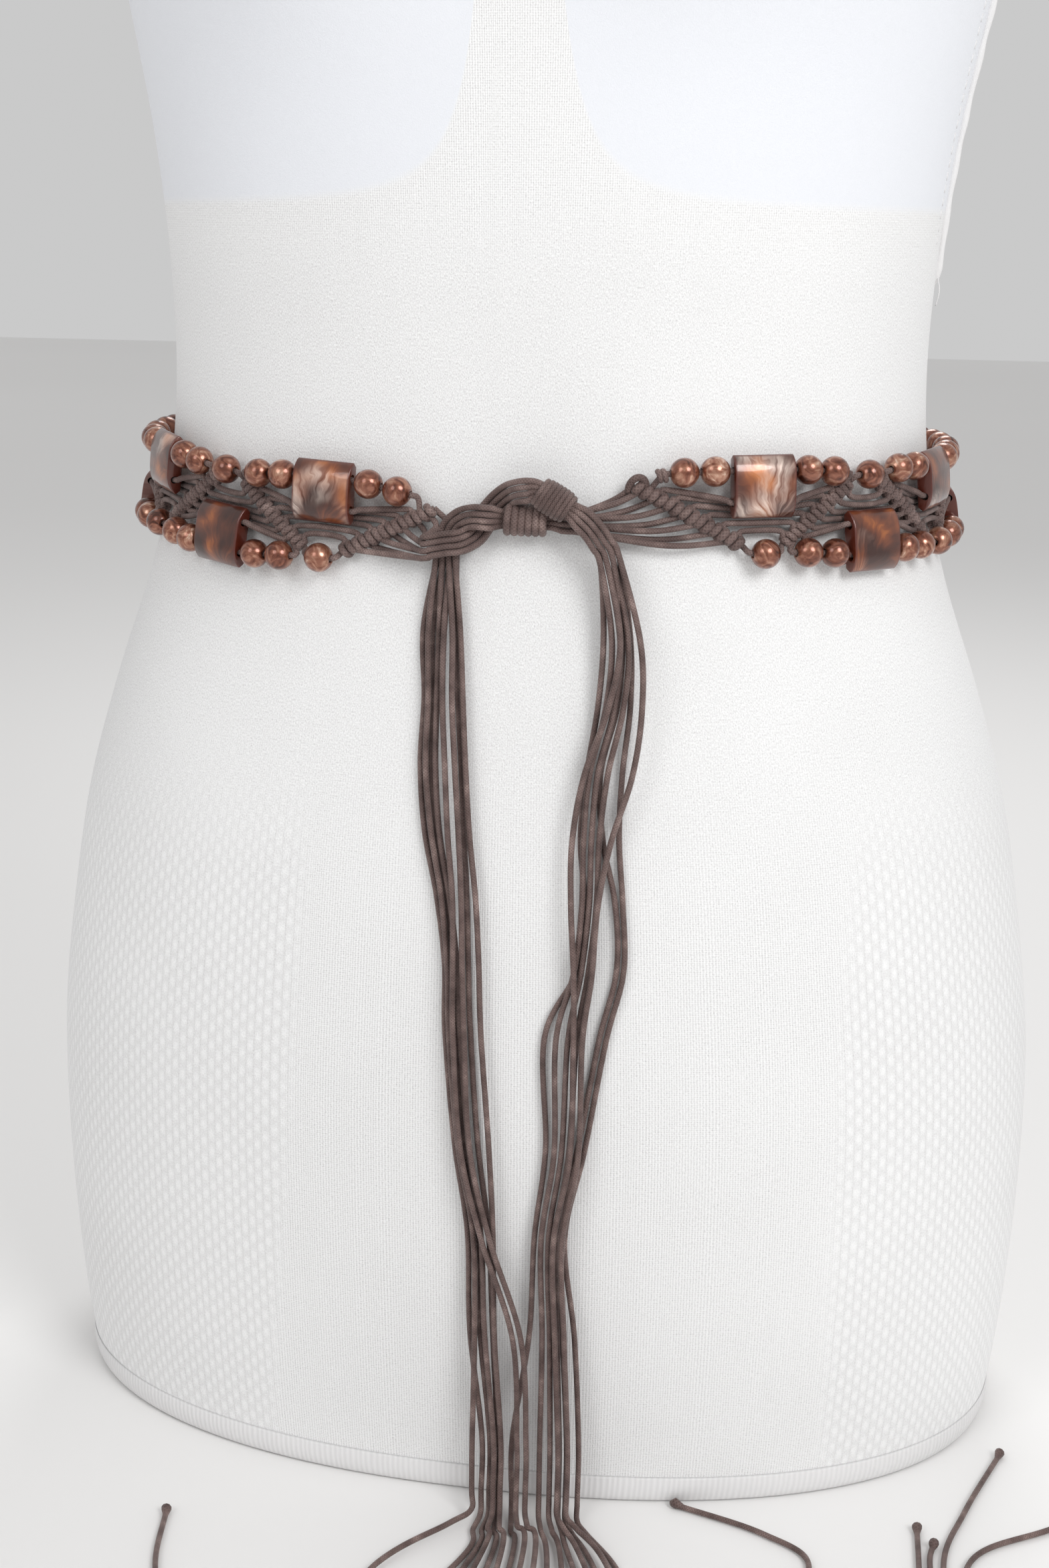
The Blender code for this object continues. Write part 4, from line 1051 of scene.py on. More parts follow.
# Places on the bundles' middle lines: run, rise from the tie's middle and way out
RIGHT_LEAD = ((10.5, -6.0, 6.3), (5.5, -5.8, 6.3))
RIGHT_WRAP = ((2.4, -5.7, 6.3), (-13.9, -5.7, 6.3))
RIGHT_DROP = ((-16.5, -5.6, 8.3), (-19.5, -5.4, 9.4), (-23.0, -5.4, 8.4), (-27.0, -6.6, 6.2),
              (-30.3, -9.5, 4.2), (-31.5, -14.0, 3.6), (-32.0, -19.0, 3.6))
LEFT_LEAD = ((-36.5, -15.6, 9.0), (-31.3, -14.4, 9.5), (-26.5, -13.6, 8.2),
             (-23.0, -11.3, 5.2), (-20.8, -7.8, 3.6), (-18.0, -3.6, 3.0), (-14.8, -0.2, 4.0),
             (-11.4, 2.2, 7.0), (-8.0, 3.3, 10.2), (-4.8, 3.8, 12.3))
LEFT_WRAP = ((-2.0, 4.2, 12.8), (9.0, -2.4, 12.8))
LEFT_DROP = ((12.0, -4.7, 12.9), (15.3, -8.3, 12.3), (18.2, -13.0, 11.2), (20.6, -18.6, 10.0))
RIGHT_WRAP_RADIUS, RIGHT_WRAP_TURNS = 5.5, 6
LEFT_WRAP_RADIUS, LEFT_WRAP_TURNS = 5.5, 8
print("wraps:", RIGHT_WRAP_TURNS, "and", LEFT_WRAP_TURNS, "turns")

# %% Tail tables
# Tails seen square on to the tie, in millimetres: height, then the side of each of the strands
LEFT_TAIL = (
    (315.0, -39.8, -38.0, -36.7, -34.5, -32.8, -30.1, -28.9, -27.6),
    (293.0, -39.3, -37.9, -36.4, -35.0, -33.1, -30.0, -28.2, -26.5),
    (271.0, -40.4, -38.6, -36.9, -35.3, -32.1, -28.8, -26.9, -25.4),
    (249.0, -38.9, -36.6, -35.3, -33.8, -31.0, -27.4, -25.8, -23.9),
    (227.0, -34.7, -33.0, -31.7, -30.2, -29.2, -26.3, -24.6, -21.6),
    (204.0, -31.9, -30.9, -29.2, -27.6, -29.0, -25.8, -23.9, -20.3),
    (180.0, -31.6, -30.2, -28.2, -26.4, -28.8, -25.0, -23.0, -19.4),
    (140.0, -28.2, -26.9, -24.9, -23.3, -26.1, -22.9, -20.2, -16.4),
    (107.0, -23.5, -21.5, -20.6, -18.8, -18.7, -15.8, -16.2, -14.6),
    (70.0, -22.4, -20.7, -18.9, -17.2, -7.4, -4.5, -14.4, -13.8),
    (30.0, -17.9, -21.2, -15.1, -13.7, -5.4, -2.2, -12.4, -11.1),
)
RIGHT_TAIL = (
    (315.0, 18.7, 21.3, 23.9, 23.9, 26.5, 24.7, 27.3, 30.3),
    (293.0, 17.4, 19.9, 20.5, 22.5, 25.5, 23.6, 27.8, 31.4),
    (271.0, 14.3, 15.1, 13.3, 17.7, 21.0, 18.7, 25.8, 28.8),
    (249.0, 12.6, 13.5, 9.8, 16.1, 18.7, 19.8, 25.2, 22.4),
    (227.0, 14.3, 13.4, 9.8, 15.8, 18.2, 24.4, 26.9, 18.5),
    (204.0, 12.2, 11.2, 11.1, 13.6, 16.0, 25.3, 27.7, 17.1),
    (180.0, 1.9, 5.7, 11.5, 9.7, 12.6, 20.1, 22.5, 14.4),
    (140.0, 2.9, 5.8, 11.1, 8.3, 10.8, 13.6, 16.1, 13.9),
    (107.0, -0.4, 1.9, 6.0, 4.4, 7.0, 7.4, 10.0, 9.0),
    (70.0, -1.7, 2.8, 7.2, 5.4, 8.0, 9.8, 14.0, 10.4),
    (30.0, -7.0, 2.6, 9.0, 6.2, 9.4, 12.0, 16.2, 12.3),
)
# Which layer each strand runs in, from the form outwards
LEFT_LAYERS = (0, 1, 0, 1, 2, 2, 0, 1)
RIGHT_LAYERS = (0, 1, 2, 1, 1, 0, 0, 2)
STRAND_REST = 1.7
# The right tail stands out from the form by a loft that grows between two heights
RIGHT_LOFT = 6.0
LOFT_LOW = 250.0
LOFT_HIGH = 336.0
BELLY_HEIGHT = 175.0
# Where a strand turns on to the table: its reach, its forward step and its lift over its layer
FOOT_REACH, FOOT_FORWARD, FOOT_LIFT, FOOT_SHARE = 6.3, 1.5, 0.9, 0.25
TIP_RADIUS, TIP_PLACE, TIP_SPREAD = 2.0, 2.0, 1.25
TABLE_CLEAR = 0.3
STRAND_RADIUS = 1.0
CAD_STRAND_RADIUS = 1.1
# Where each strand runs on the table: side and way to the front
LEFT_RUNS = (
    ((-26.5, 157.0), (-84.0, 246.0), (-140.0, 300.0)),
    ((-52.0, 157.0), (-76.0, 204.0), (-115.0, 198.0), (-127.0, 160.0), (-129.0, 125.0)),
    ((-22.6, 157.0), (-71.0, 272.0), (-112.0, 338.0)),
    ((-18.7, 157.0), (-59.0, 285.0), (-86.0, 352.0)),
    ((-3.2, 157.0), (-24.0, 294.0), (-22.0, 364.0)),
    ((1.2, 157.0), (-13.0, 294.0), (-8.0, 352.0)),
    ((-14.9, 157.0), (-47.0, 290.0), (-60.0, 360.0)),
    ((-11.1, 157.0), (-35.0, 292.0), (-38.0, 350.0)),
)
RIGHT_RUNS = (
    ((-7.2, 157.0), (-29.5, 293.0), (-30.0, 354.0)),
    ((5.6, 157.0), (3.0, 240.0), (8.0, 336.0)),
    ((18.1, 157.0), (36.0, 235.0), (95.0, 246.0), (139.0, 205.0), (141.0, 152.0), (154.3, 118.5),
     (175.0, 79.0)),
    ((10.5, 157.0), (12.0, 250.0), (22.0, 345.0)),
    ((14.3, 157.0), (34.0, 245.0), (95.0, 258.0), (147.0, 212.0), (149.0, 152.0), (181.0, 129.0),
     (222.0, 112.0)),
    ((21.9, 157.0), (38.0, 225.0), (95.0, 234.0), (133.0, 198.0), (136.4, 152.0), (140.4, 137.2)),
    ((29.5, 157.0), (38.0, 192.0), (76.0, 190.0), (95.0, 153.0), (81.0, 134.0), (50.0, 116.5)),
    ((25.7, 157.0), (40.0, 215.0), (95.0, 222.0), (127.0, 190.0), (132.6, 152.0), (135.8, 127.7)),
)
print("the tails fall", LEFT_TAIL[0][0] - LEFT_TAIL[-1][0], "mm")

# %% Places seen square on to the tie
TIE_ACROSS = Vector((math.cos(TIE_ANGLE), math.sin(TIE_ANGLE), 0.0))
TIE_OUT = Vector((math.sin(TIE_ANGLE), -math.cos(TIE_ANGLE), 0.0))
SEARCH_ANGLE, SEARCH_STEPS = 1.2, 30


def tie_place(side, depth, height):
    """A point seen square on to the tie: to its side, out towards the viewer, and up."""
    return (TIE_ACROSS * side + TIE_OUT * depth + Vector((0.0, 0.0, height))) * MM


def form_depth(side, height):
    """How far out the form's surface lies at a side and a height, square on to the tie."""
    low, high = TIE_ANGLE - SEARCH_ANGLE, TIE_ANGLE + SEARCH_ANGLE
    for _ in range(SEARCH_STEPS):
        middle = (low + high) / 2
        if form_point(middle, height * MM).dot(TIE_ACROSS) / MM > side:
            high = middle
        else:
            low = middle
    return form_point(low, height * MM).dot(TIE_OUT) / MM


print("the form is", round(form_depth(0.0, BELLY_HEIGHT)), "mm deep in front of its axis")

# %% [markdown]
# ## The loose tails
#
# Each tail is eight cords that hang down the form's front and run out over the table to small
# overhand knots. A table gives the side of each cord at each height. The cords lie in three layers,
# so that one may cross in front of another without running through it.

# %% Tail paths


def tail_point(side, height, layer, loft):
    """A strand's place at a height: its layer rests on the form down to the fullest part."""
    rest = form_depth(side, max(height, BELLY_HEIGHT)) + STRAND_REST
    rise = min(max((height - LOFT_LOW) / (LOFT_HIGH - LOFT_LOW), 0.0), 1.0)
    rest += loft * rise * rise * (3 - 2 * rise)
    return Vector((side, rest + LAYER_STEP * layer, height))


def strand_places(table, layer, runs, number, loft):
    """A strand down the form and out over the table, square on to the tie."""
    low = TABLE_CLEAR + CAD_STRAND_RADIUS
    lift = low + LAYER_STEP * layer
    hang = [tail_point(row[1 + number], row[0], layer, loft) for row in table]
    foot = hang[-1]
    turn_down = [
        Vector((foot.x, foot.y + FOOT_FORWARD, lift + FOOT_REACH)),
        Vector((foot.x, foot.y + FOOT_REACH, lift + FOOT_LIFT)),
    ]
    first = Vector((*runs[0], (low + lift) / 2))
    second = turn_down[1].lerp(first, FOOT_SHARE)
    second.z = lift
    return hang + turn_down + [second, first] + [Vector((*place, low)) for place in runs[1:]]


def knotted_end(path):
    """Radii that swell into a small knot at a path's end, which lifts it off the table."""
    radii = []
    total = 0.0
    for index in range(len(path) - 1, -1, -1):
        if index < len(path) - 1:
            total += (path[index] - path[index + 1]).length / MM
        bulge = math.exp(-((total - TIP_PLACE) / TIP_SPREAD) ** 2)
        radii.append(STRAND_RADIUS + (TIP_RADIUS - STRAND_RADIUS) * bulge)
        path[index].z = max(path[index].z, (radii[-1] + TABLE_CLEAR) * MM)
    return radii[::-1]


print("each tail has", STRANDS, "cords")

# %% [markdown]
# ## Fans, bundles and wraps
#
# From the last bar the eight cords fan in to the bundle, four beside each other in two layers. They
# draw closer inside the wrap, which is a cord wound round them in touching turns. Each cord is one
# path from its last knot, through the bundle and its wrap, to its tip on the table.

# %% Fans and bundles
FAN_GAP = 2.2
# A bend on the way, as shares of the run and rise to the bundle, and its way out
RIGHT_BEND_RUN, RIGHT_BEND_RISE, RIGHT_BEND_OUT = 0.45, 0.40, 2.4
RIGHT_BEND_SAG, RIGHT_BEND_STEP = 1.5, 0.15
LEFT_BEND_RUN, LEFT_BEND_RISE, LEFT_BEND_OUT, LEFT_BEND_LEAST = 0.35, 0.55, 2.6, 3.5
BUNDLE_STEP = 2.1
WRAP_PINCH = 0.72
WRAP_STEPS = 28
EDGE_CORD_STEP = 0.8


def fan_end(lead, number):
    """Where a fan cord meets the bundle: four columns and two layers, just short of its end."""
    start = Vector(lead[0])
    way = (start - Vector(lead[1])).normalized()
    column, layer = number // 2, number % 2
    offset = Vector((0, column - 1.5, layer - 0.5)) * LAYER_STEP
    return start + way * FAN_GAP + offset


def fan_places(bar, lead, number):
    """A cord's way from its last knot to the bundle."""
    first = bar == 1
    end = fan_end(lead, STRANDS - 1 - number)
    share = (2 * number - 1) / (2 * KNOTS) if number else 0.0
    if not first:
        share = 1 - share
    start = bar_place(bar, share)
    run, _ = bar_line(bar, share)
    if number == 0:
        run += EDGE_CORD_STEP
    run -= 0 if first else ROUND
    drop = (start.z / MM) - TIE_HEIGHT / MM
    if first:
        bend_run = run + (end.x - run) * RIGHT_BEND_RUN
        sag = RIGHT_BEND_SAG + RIGHT_BEND_STEP * number
        bend_rise = drop + (end.y - drop) * RIGHT_BEND_RISE - sag
        bend_out = RIGHT_BEND_OUT
    else:
        bend_run = run + max(LEFT_BEND_LEAST, LEFT_BEND_RUN * (end.x - run))
        bend_rise = drop + (end.y - drop) * LEFT_BEND_RISE
        bend_out = LEFT_BEND_OUT
    bend = tie_point(bend_run, bend_rise, bend_out + (number % 2) * LAYER_STEP)
    return start, bend, tie_point(*end)


def bundle_places(lead, wrap, drop, side_step, layer_step):
    """A cord's way through the bundle, offset from the bundle's middle line."""
    rows = [Vector(place) for place in lead]
    pinch = [1.0] * len(rows)
    rows += [Vector(wrap[0]), Vector(wrap[0]).lerp(Vector(wrap[1]), 0.5), Vector(wrap[1])]
    pinch += [WRAP_PINCH, WRAP_PINCH, WRAP_PINCH]
    rows += [Vector(place) for place in drop]
    pinch += [1.0] * len(drop)
    places = []
    for index, row in enumerate(rows):
        way = rows[min(index + 1, len(rows) - 1)] - rows[max(index - 1, 0)]
        flat_way = Vector((way.x, way.y, 0.0)).normalized()
        right_hand = Vector((flat_way.y, -flat_way.x, 0.0))
        offset = right_hand * side_step * pinch[index]
        offset.z += layer_step * pinch[index]
        places.append(tie_point(*(row + offset)))
    return places


def tie_strand(bar, lead, wrap, drop, table, layers, runs, loft, number):
    """One cord from its last knot on the band to its tip on the table."""
    first = bar == 1
    fan = fan_places(bar, lead, number)
    column, layer = (STRANDS - 1 - number) // 2, (STRANDS - 1 - number) % 2
    hand = column - 1.5 if first else 1.5 - column
    through = bundle_places(lead, wrap, drop, hand * BUNDLE_STEP, (layer - 0.5) * BUNDLE_STEP)
    tail_number = 2 * round(1.5 - hand) + layer
    tail = [tie_place(*place) for place in strand_places(
        table, layers[tail_number], runs[tail_number], tail_number, loft)]
    return list(fan) + through, tail


def wrap_path(wrap, radius, turns, cord_radius, barrel):
    """A binding cord wound round a bundle, narrower by the barrel's share at its ends."""
    start, end = tie_point(*wrap[0]), tie_point(*wrap[1])
    way = (end - start).normalized()
    middle = [(wrap[0][axis] + wrap[1][axis]) / 2 for axis in range(3)]
    out = tie_point(middle[0], middle[1], middle[2] + 2) - tie_point(*middle)
    out = (out - way * out.dot(way)).normalized()
    across = way.cross(out)
    length = (end - start).length
    inset = cord_radius * MM / length
    steps = turns * WRAP_STEPS
    points = []
    for step in range(steps + 1):
        share = step / steps
        angle = FULL_TURN * turns * share - math.pi / 2
        along = inset + (1 - 2 * inset) * share
        ring = (radius - cord_radius) * (1 - barrel * (2 * share - 1) ** 4) * MM
        points.append(start + (end - start) * along
                      + (out * math.sin(angle) + across * math.cos(angle)) * ring)
    return points


print("each bundle is", STRANDS // 2, "cords wide and two deep")

# %% Both ends of the belt
right_store, left_store = new_store(), new_store()
RIGHT_END = (RIGHT_LEAD, RIGHT_WRAP, RIGHT_DROP, LEFT_TAIL, LEFT_LAYERS, LEFT_RUNS, 0.0)
LEFT_END = (LEFT_LEAD, LEFT_WRAP, LEFT_DROP, RIGHT_TAIL, RIGHT_LAYERS, RIGHT_RUNS, RIGHT_LOFT)
for number in range(STRANDS):
    for bar, store, shape in ((1, right_store, RIGHT_END), (BARS, left_store, LEFT_END)):
        gathered, tail = tie_strand(bar, *shape, number)
        path = smooth_path(gathered + tail, 1.5)
        draw_cord(store, path, knotted_end(path))
# Each wrap's length sets its cord's radius, so that the turns touch
for store, shape, length, spare, barrel in (
        (right_store, (RIGHT_WRAP, RIGHT_WRAP_RADIUS, RIGHT_WRAP_TURNS), 16.3, -0.05, 0.04),
        (left_store, (LEFT_WRAP, LEFT_WRAP_RADIUS, LEFT_WRAP_TURNS), 12.8, 0.08, 0.2)):
    cord_radius = length / (2 * shape[2]) + spare
    draw_cord(store, wrap_path(*shape, cord_radius, barrel), cord_radius)
print("the left wrap's cord is", round(2 * cord_radius, 2), "mm thick")

# %% Cord pieces
for bar, store in section_stores.items():
    make_piece(f"knotted_cords_{bar:02d}", store, waxed_cord,
               [f"bar_section_{bar:02d}"])
make_piece("right_end_cords", right_store, waxed_cord, ["right_end_wrap_and_tail"])
make_piece("left_end_cords", left_store, waxed_cord, ["left_end_wrap_and_tail"])
print("cord pieces made")

# %% [markdown]
# ## Round beads
#
# A bead is turned from its outline: half a circle outside and a straight hole inside, with the
# hole's edge a little rounded. One function spins that outline round the cord's line, so the hole
# is real and the cord can be seen going in.

# %% Beads
HOLE_RADIUS = 1.15
HOLE_FLARE, HOLE_INSET = 0.25, 0.3
BEAD_SPIN = 32
BEAD_ARC = 18
BEAD_UNEVEN = 0.05


def bead_outline(radius):
    """Along and out from the hole's line: the round outside, then back through the hole."""
    edge = math.asin((HOLE_RADIUS + HOLE_FLARE) / radius)
    outline = []
    for step in range(BEAD_ARC + 1):
        angle = edge + (math.pi - 2 * edge) * step / BEAD_ARC
        outline.append((-radius * math.cos(angle), radius * math.sin(angle)))
    inner = radius * math.cos(edge) - HOLE_INSET
    outline += [(inner, HOLE_RADIUS), (0.0, HOLE_RADIUS), (-inner, HOLE_RADIUS)]
    return outline


def draw_bead(store, middle, along, radius):
    """Spin the bead's outline round its hole's line."""
    first = len(store["points"])
    outline = bead_outline(radius)
    side_way = along.orthogonal().normalized()
    cross_way = along.cross(side_way)
    count = len(outline)
    for step in range(BEAD_SPIN):
        angle = FULL_TURN * step / BEAD_SPIN
        way = side_way * math.cos(angle) + cross_way * math.sin(angle)
        for place, out in outline:
            store["points"].append(middle + along * place * MM + way * out * MM)
    for step in range(BEAD_SPIN):
        low = first + step * count
        high = first + (step + 1) % BEAD_SPIN * count
        for index in range(count):
            after = (index + 1) % count
            store["faces"].append((low + index, high + index, high + after, low + after))
            store["flats"].append(((step, index), (step + 1, index), (step + 1, index + 1),
                                   (step, index + 1)))


def bead_size(zone, number):
    """Beads differ by a tenth of a millimetre or so."""
    return BEAD_RADIUS - BEAD_UNEVEN + BEAD_UNEVEN * math.sin(zone * 4.7 + number * 2.9)


for zone in range(1, ZONES + 1):
    side, centre = zone_side(zone), zone_centre(zone)
    row_store, single_store = new_store(), new_store()
    for number, shift in enumerate((-FAR_BEAD, -NEAR_BEAD, NEAR_BEAD, FAR_BEAD)):
        middle, along, _, _ = belt_frame(centre + shift, BEAD_ROW * side, BEAD_LINE)
        draw_bead(row_store, middle, along, bead_size(zone, number))
    middle, along, _, _ = belt_frame(centre, -BEAD_ROW * side, BEAD_LINE)
    draw_bead(single_store, middle, along, bead_size(zone, 5))
    make_piece(f"row_beads_{zone:02d}", row_store, pearl_bead,
               [f"bead_row_{zone:02d}"])
    make_piece(f"turn_bead_{zone:02d}", single_store, pearl_bead,
               [f"single_bead_{zone:02d}"])
print("threaded", 5 * ZONES, "beads")

# %% [markdown]
# ## Two-hole tiles
#
# A tile is a small block 21 mm long with a domed front, like a slice of a wide cylinder, and two
# holes along it. One is shaped from its cross outline, its edges are softened with a bevel, and the
# holes are drilled with a Boolean. Copies of that mesh are then placed on each zone's own axes.

# %% Tile shape
TILE_HALF_WIDTH = 10.25
TILE_BACK_DEPTH = -2.6
TILE_FRONT_DEPTH = 2.7
TILE_BACK_HALF = 8.8
TILE_SHOULDER = -0.8
TILE_HOLE_RADIUS = 1.25
TILE_EDGE = 0.45
DOME_STEPS = 22


def tile_outline():
    """Up and out round a tile's end, from the lower back corner."""
    outline = [(-TILE_BACK_HALF, TILE_BACK_DEPTH), (TILE_BACK_HALF, TILE_BACK_DEPTH)]
    for step in range(DOME_STEPS + 1):
        share = 1 - 2 * step / DOME_STEPS
        rise = TILE_HALF_WIDTH * math.copysign(abs(share) ** 0.85, share)
        bow = (1 - abs(share) ** 3.2) ** 0.9
        outline.append((rise, TILE_SHOULDER + (TILE_FRONT_DEPTH - TILE_SHOULDER) * bow))
    return outline


def make_tile_mesh():
    """A tile without its holes: its outline at three places along it, and two ends."""
    mesh = bpy.data.meshes.new("tile_shape")
    work = bmesh.new()
    outline = tile_outline()
    rings = []
    for share in (-0.5, 0.0, 0.5):
        along = share * TILE_LENGTH
        rings.append([work.verts.new((along * MM, rise * MM, out * MM)) for rise, out in outline])
    count = len(outline)
    for low, high in zip(rings[:-1], rings[1:]):
        for index in range(count):
            after = (index + 1) % count
            work.faces.new((low[index], low[after], high[after], high[index]))
    work.faces.new(list(reversed(rings[0])))
    work.faces.new(rings[-1])
    bmesh.ops.recalc_face_normals(work, faces=work.faces)
    work.to_mesh(mesh)
    work.free()
    return mesh


def add_temporary(name, mesh):
    """An object that is only there while a shape is made."""
    item = bpy.data.objects.new(name, mesh)
    bpy.context.scene.collection.objects.link(item)
    return item


def tile_drill(rise):
    """A rod as thick as a hole, through the tile's length."""
    work = bmesh.new()
    bmesh.ops.create_cone(work, cap_ends=True, segments=24, radius1=TILE_HOLE_RADIUS * MM,
                          radius2=TILE_HOLE_RADIUS * MM, depth=2 * TILE_LENGTH * MM,
                          matrix=Matrix.Translation((0, rise * MM, 0))
                          @ Matrix.Rotation(math.pi / 2, 4, "Y"))
    mesh = bpy.data.meshes.new("drill")
    work.to_mesh(mesh)
    work.free()
    return add_temporary("drill", mesh)


def drilled_tile():
    """The tile's mesh with softened edges and both holes."""
    block = add_temporary("tile_block", make_tile_mesh())
    soften = block.modifiers.new("soften", "BEVEL")
    soften.width = TILE_EDGE * MM
    soften.segments = 3
    soften.limit_method = "ANGLE"
    soften.angle_limit = math.radians(50)
    drills = [tile_drill(TILE_HOLE), tile_drill(-TILE_HOLE)]
    for drill in drills:
        hole = block.modifiers.new("hole", "BOOLEAN")
        hole.operation = "DIFFERENCE"
        hole.solver = "EXACT"
        hole.object = drill
    bpy.context.view_layer.update()
    shape = block.evaluated_get(bpy.context.evaluated_depsgraph_get())
    mesh = bpy.data.meshes.new_from_object(shape)
    for item in drills + [block]:
        bpy.data.objects.remove(item, do_unlink=True)
    return mesh


tile_shape = drilled_tile()
print("tile mesh has", len(tile_shape.polygons), "faces")

# %% Tiles on the belt
for zone in range(1, ZONES + 1):
    side, centre = zone_side(zone), zone_centre(zone)
    middle, along, rising, out = belt_frame(centre, TILE_CENTRE * side, BEAD_LINE)
    store = new_store()
    store["points"] = [middle + along * v.co.x + rising * v.co.y + out * v.co.z
                       for v in tile_shape.vertices]
    shift = TILE_STEP_MM * zone
    for face in tile_shape.polygons:
        store["faces"].append(tuple(face.vertices))
        corners = [tile_shape.vertices[index].co for index in face.vertices]
        store["flats"].append(tuple((c.x / MM + shift, c.y / MM) for c in corners))
    tile = make_piece(f"pearl_tile_{zone:02d}", store, pearl_tile,
                      [f"bead_row_{zone:02d}"])
    tile.data.set_sharp_from_angle(angle=math.radians(35))
print("strung", ZONES, "tiles")

# %% [markdown]
# ## The form's body
#
# Below the cover is a body of moulded foam. It follows the same surface 2 mm further in, closed at
# both ends, and nothing of it shows but its foot seen from below. A coarse grid is enough for it.

# %% Form body
TOP_HEIGHT = 0.822
BODY_DEPTH_MM = 2.0
BODY_ROUND = 96
BODY_RISE = 120
FOAM_SCALE = 700.0


def form_beside(angle, height, out):
    """A point some millimetres out from the form's surface, at the same height."""
    place = form_point(angle, height)
    way = form_normal(angle, height)
    way.z = 0.0
    return place + way.normalized() * out * MM


def ring_faces(store, low, high, count, flats):
    """Faces between two rings of points, with flats as left, right, low and high places."""
    for index in range(count):
        after = (index + 1) % count
        left, right, bottom, top = flats(index)
        store["faces"].append((low + index, low + after, high + after, high + index))
        store["flats"].append(((left, bottom), (right, bottom), (right, top), (left, top)))


foam = new_material("moulded_foam", Roughness=0.9, Specular_IOR_Level=0.2)
foam_grain = add_node(foam, "TexNoise", {
    "Vector": object_place(foam), "Scale": FOAM_SCALE, "Detail": 3.0})
foam_colour = add_node(foam, "ValToRGB", [foam_grain], ((0.3, "#c9c4b6"), (0.7, "#ddd9cc")))
finish_surface(foam, foam_colour)

body_store = new_store()
for level in range(BODY_RISE + 1):
    height = (TOP_HEIGHT - 2 * BODY_DEPTH_MM * MM) * level / BODY_RISE + BODY_DEPTH_MM * MM
    for index in range(BODY_ROUND):
        angle = FULL_TURN * index / BODY_ROUND
        body_store["points"].append(
            form_point(angle, height) - form_normal(angle, height) * BODY_DEPTH_MM * MM)
for level in range(BODY_RISE):
    ring_faces(body_store, level * BODY_ROUND, (level + 1) * BODY_ROUND, BODY_ROUND,
               lambda index: (index, index + 1, level, level + 1))
top_ring = BODY_RISE * BODY_ROUND
for ring in (range(BODY_ROUND - 1, -1, -1), range(top_ring, top_ring + BODY_ROUND)):
    body_store["faces"].append(tuple(ring))
    body_store["flats"].append(tuple((0.0, 0.0) for _ in ring))
body = make_piece("foam_form_body", body_store, foam, ["dress_form"])
body.data.set_sharp_from_angle(angle=math.radians(60))
print("the body has", len(body.data.polygons), "faces")

# %% [markdown]
# ## The form's cover
#
# The cover is a knitted tube pulled over the body, closed over the neck and open at the foot. It
# follows the form's surface, so it is made as a fine grid on the same functions: even steps round
# and up, with its flat coordinates measured on the surface in millimetres. Off the form it would lie
# as a tube a little narrower and shorter than the form, which stretches it smooth.

# %% Cover
COVER_ROUND = 216
COVER_RISE = 180
GIRTH_STEPS = 1440
HIP_HEIGHT = 0.25


def even_angles(steps, height):
    """Angles that split the form's girth at a height into equal lengths."""
    all_steps = range(GIRTH_STEPS + 1)
    places = [form_point(FULL_TURN * step / GIRTH_STEPS, height) for step in all_steps]
    lengths = [0.0]
    for before, after in zip(places[:-1], places[1:]):
        lengths.append(lengths[-1] + (after - before).length)
    angles = []
    step = 0
    for index in range(steps):
        wanted = lengths[-1] * index / steps
        while lengths[step] < wanted:
            step += 1
        angles.append(FULL_TURN * step / GIRTH_STEPS)
    return angles, lengths[-1]


cover_store = new_store()
cover_angles, cover_girth = even_angles(COVER_ROUND, HIP_HEIGHT)
for level in range(COVER_RISE + 1):
    for angle in cover_angles:
        cover_store["points"].append(form_point(angle, TOP_HEIGHT * level / COVER_RISE))
column_mm = cover_girth / MM / COVER_ROUND
level_mm = TOP_HEIGHT / MM / COVER_RISE
for level in range(COVER_RISE):
    ring_faces(cover_store, level * COVER_ROUND, (level + 1) * COVER_ROUND, COVER_ROUND,
               lambda index: (index * column_mm, (index + 1) * column_mm, level * level_mm,
                              (level + 1) * level_mm))
top_ring = COVER_RISE * COVER_ROUND
cover_store["faces"].append(tuple(range(top_ring, top_ring + COVER_ROUND)))
cover_store["flats"].append(tuple((0.0, 0.0) for _ in range(COVER_ROUND)))
cover = make_piece("knitted_cover", cover_store, cover_knit, ["dress_form"])
cover.data.set_sharp_from_angle(angle=math.radians(60))
print("the cover's girth at the hips is", round(cover_girth / MM), "mm")

# %% [markdown]
# ## The side seam
#
# The cover's two halves are sewn together up one side, and the seam's allowance is rolled into a
# narrow bead that ends above the waist with a thread and a small fold of cloth. The bead is drawn
# as a cord of uneven thickness that follows the form, with the thread at its end; the fold isn't
# drawn. The stitch line beside it is a row of short threads.

# %% Side seam
# The seam's roll: height in metres and angle round the form
SEAM_ROWS = (
    (0.424, 1.660), (0.430, 1.640), (0.448, 1.630), (0.470, 1.625), (0.500, 1.620), (0.560, 1.610),
    (0.610, 1.600), (0.650, 1.590), (0.672, 1.580),
)
SEAM_OUT, SEAM_RADIUS, SEAM_UNEVEN = 0.9, 1.4, 0.2
# The thread end that hangs out of the roll: angle, height in metres and way out
THREAD_ROWS = ((1.640, 0.4280, 0.8), (1.620, 0.4225, 2.0), (1.630, 0.4170, 1.5))
THREAD_RADIUS = 0.25
THREAD_SIDES = 6
STITCH_LENGTH, STITCH_STEP = 0.0028, 0.0042
STITCH_TURN, STITCH_OUT = 0.22, 0.05

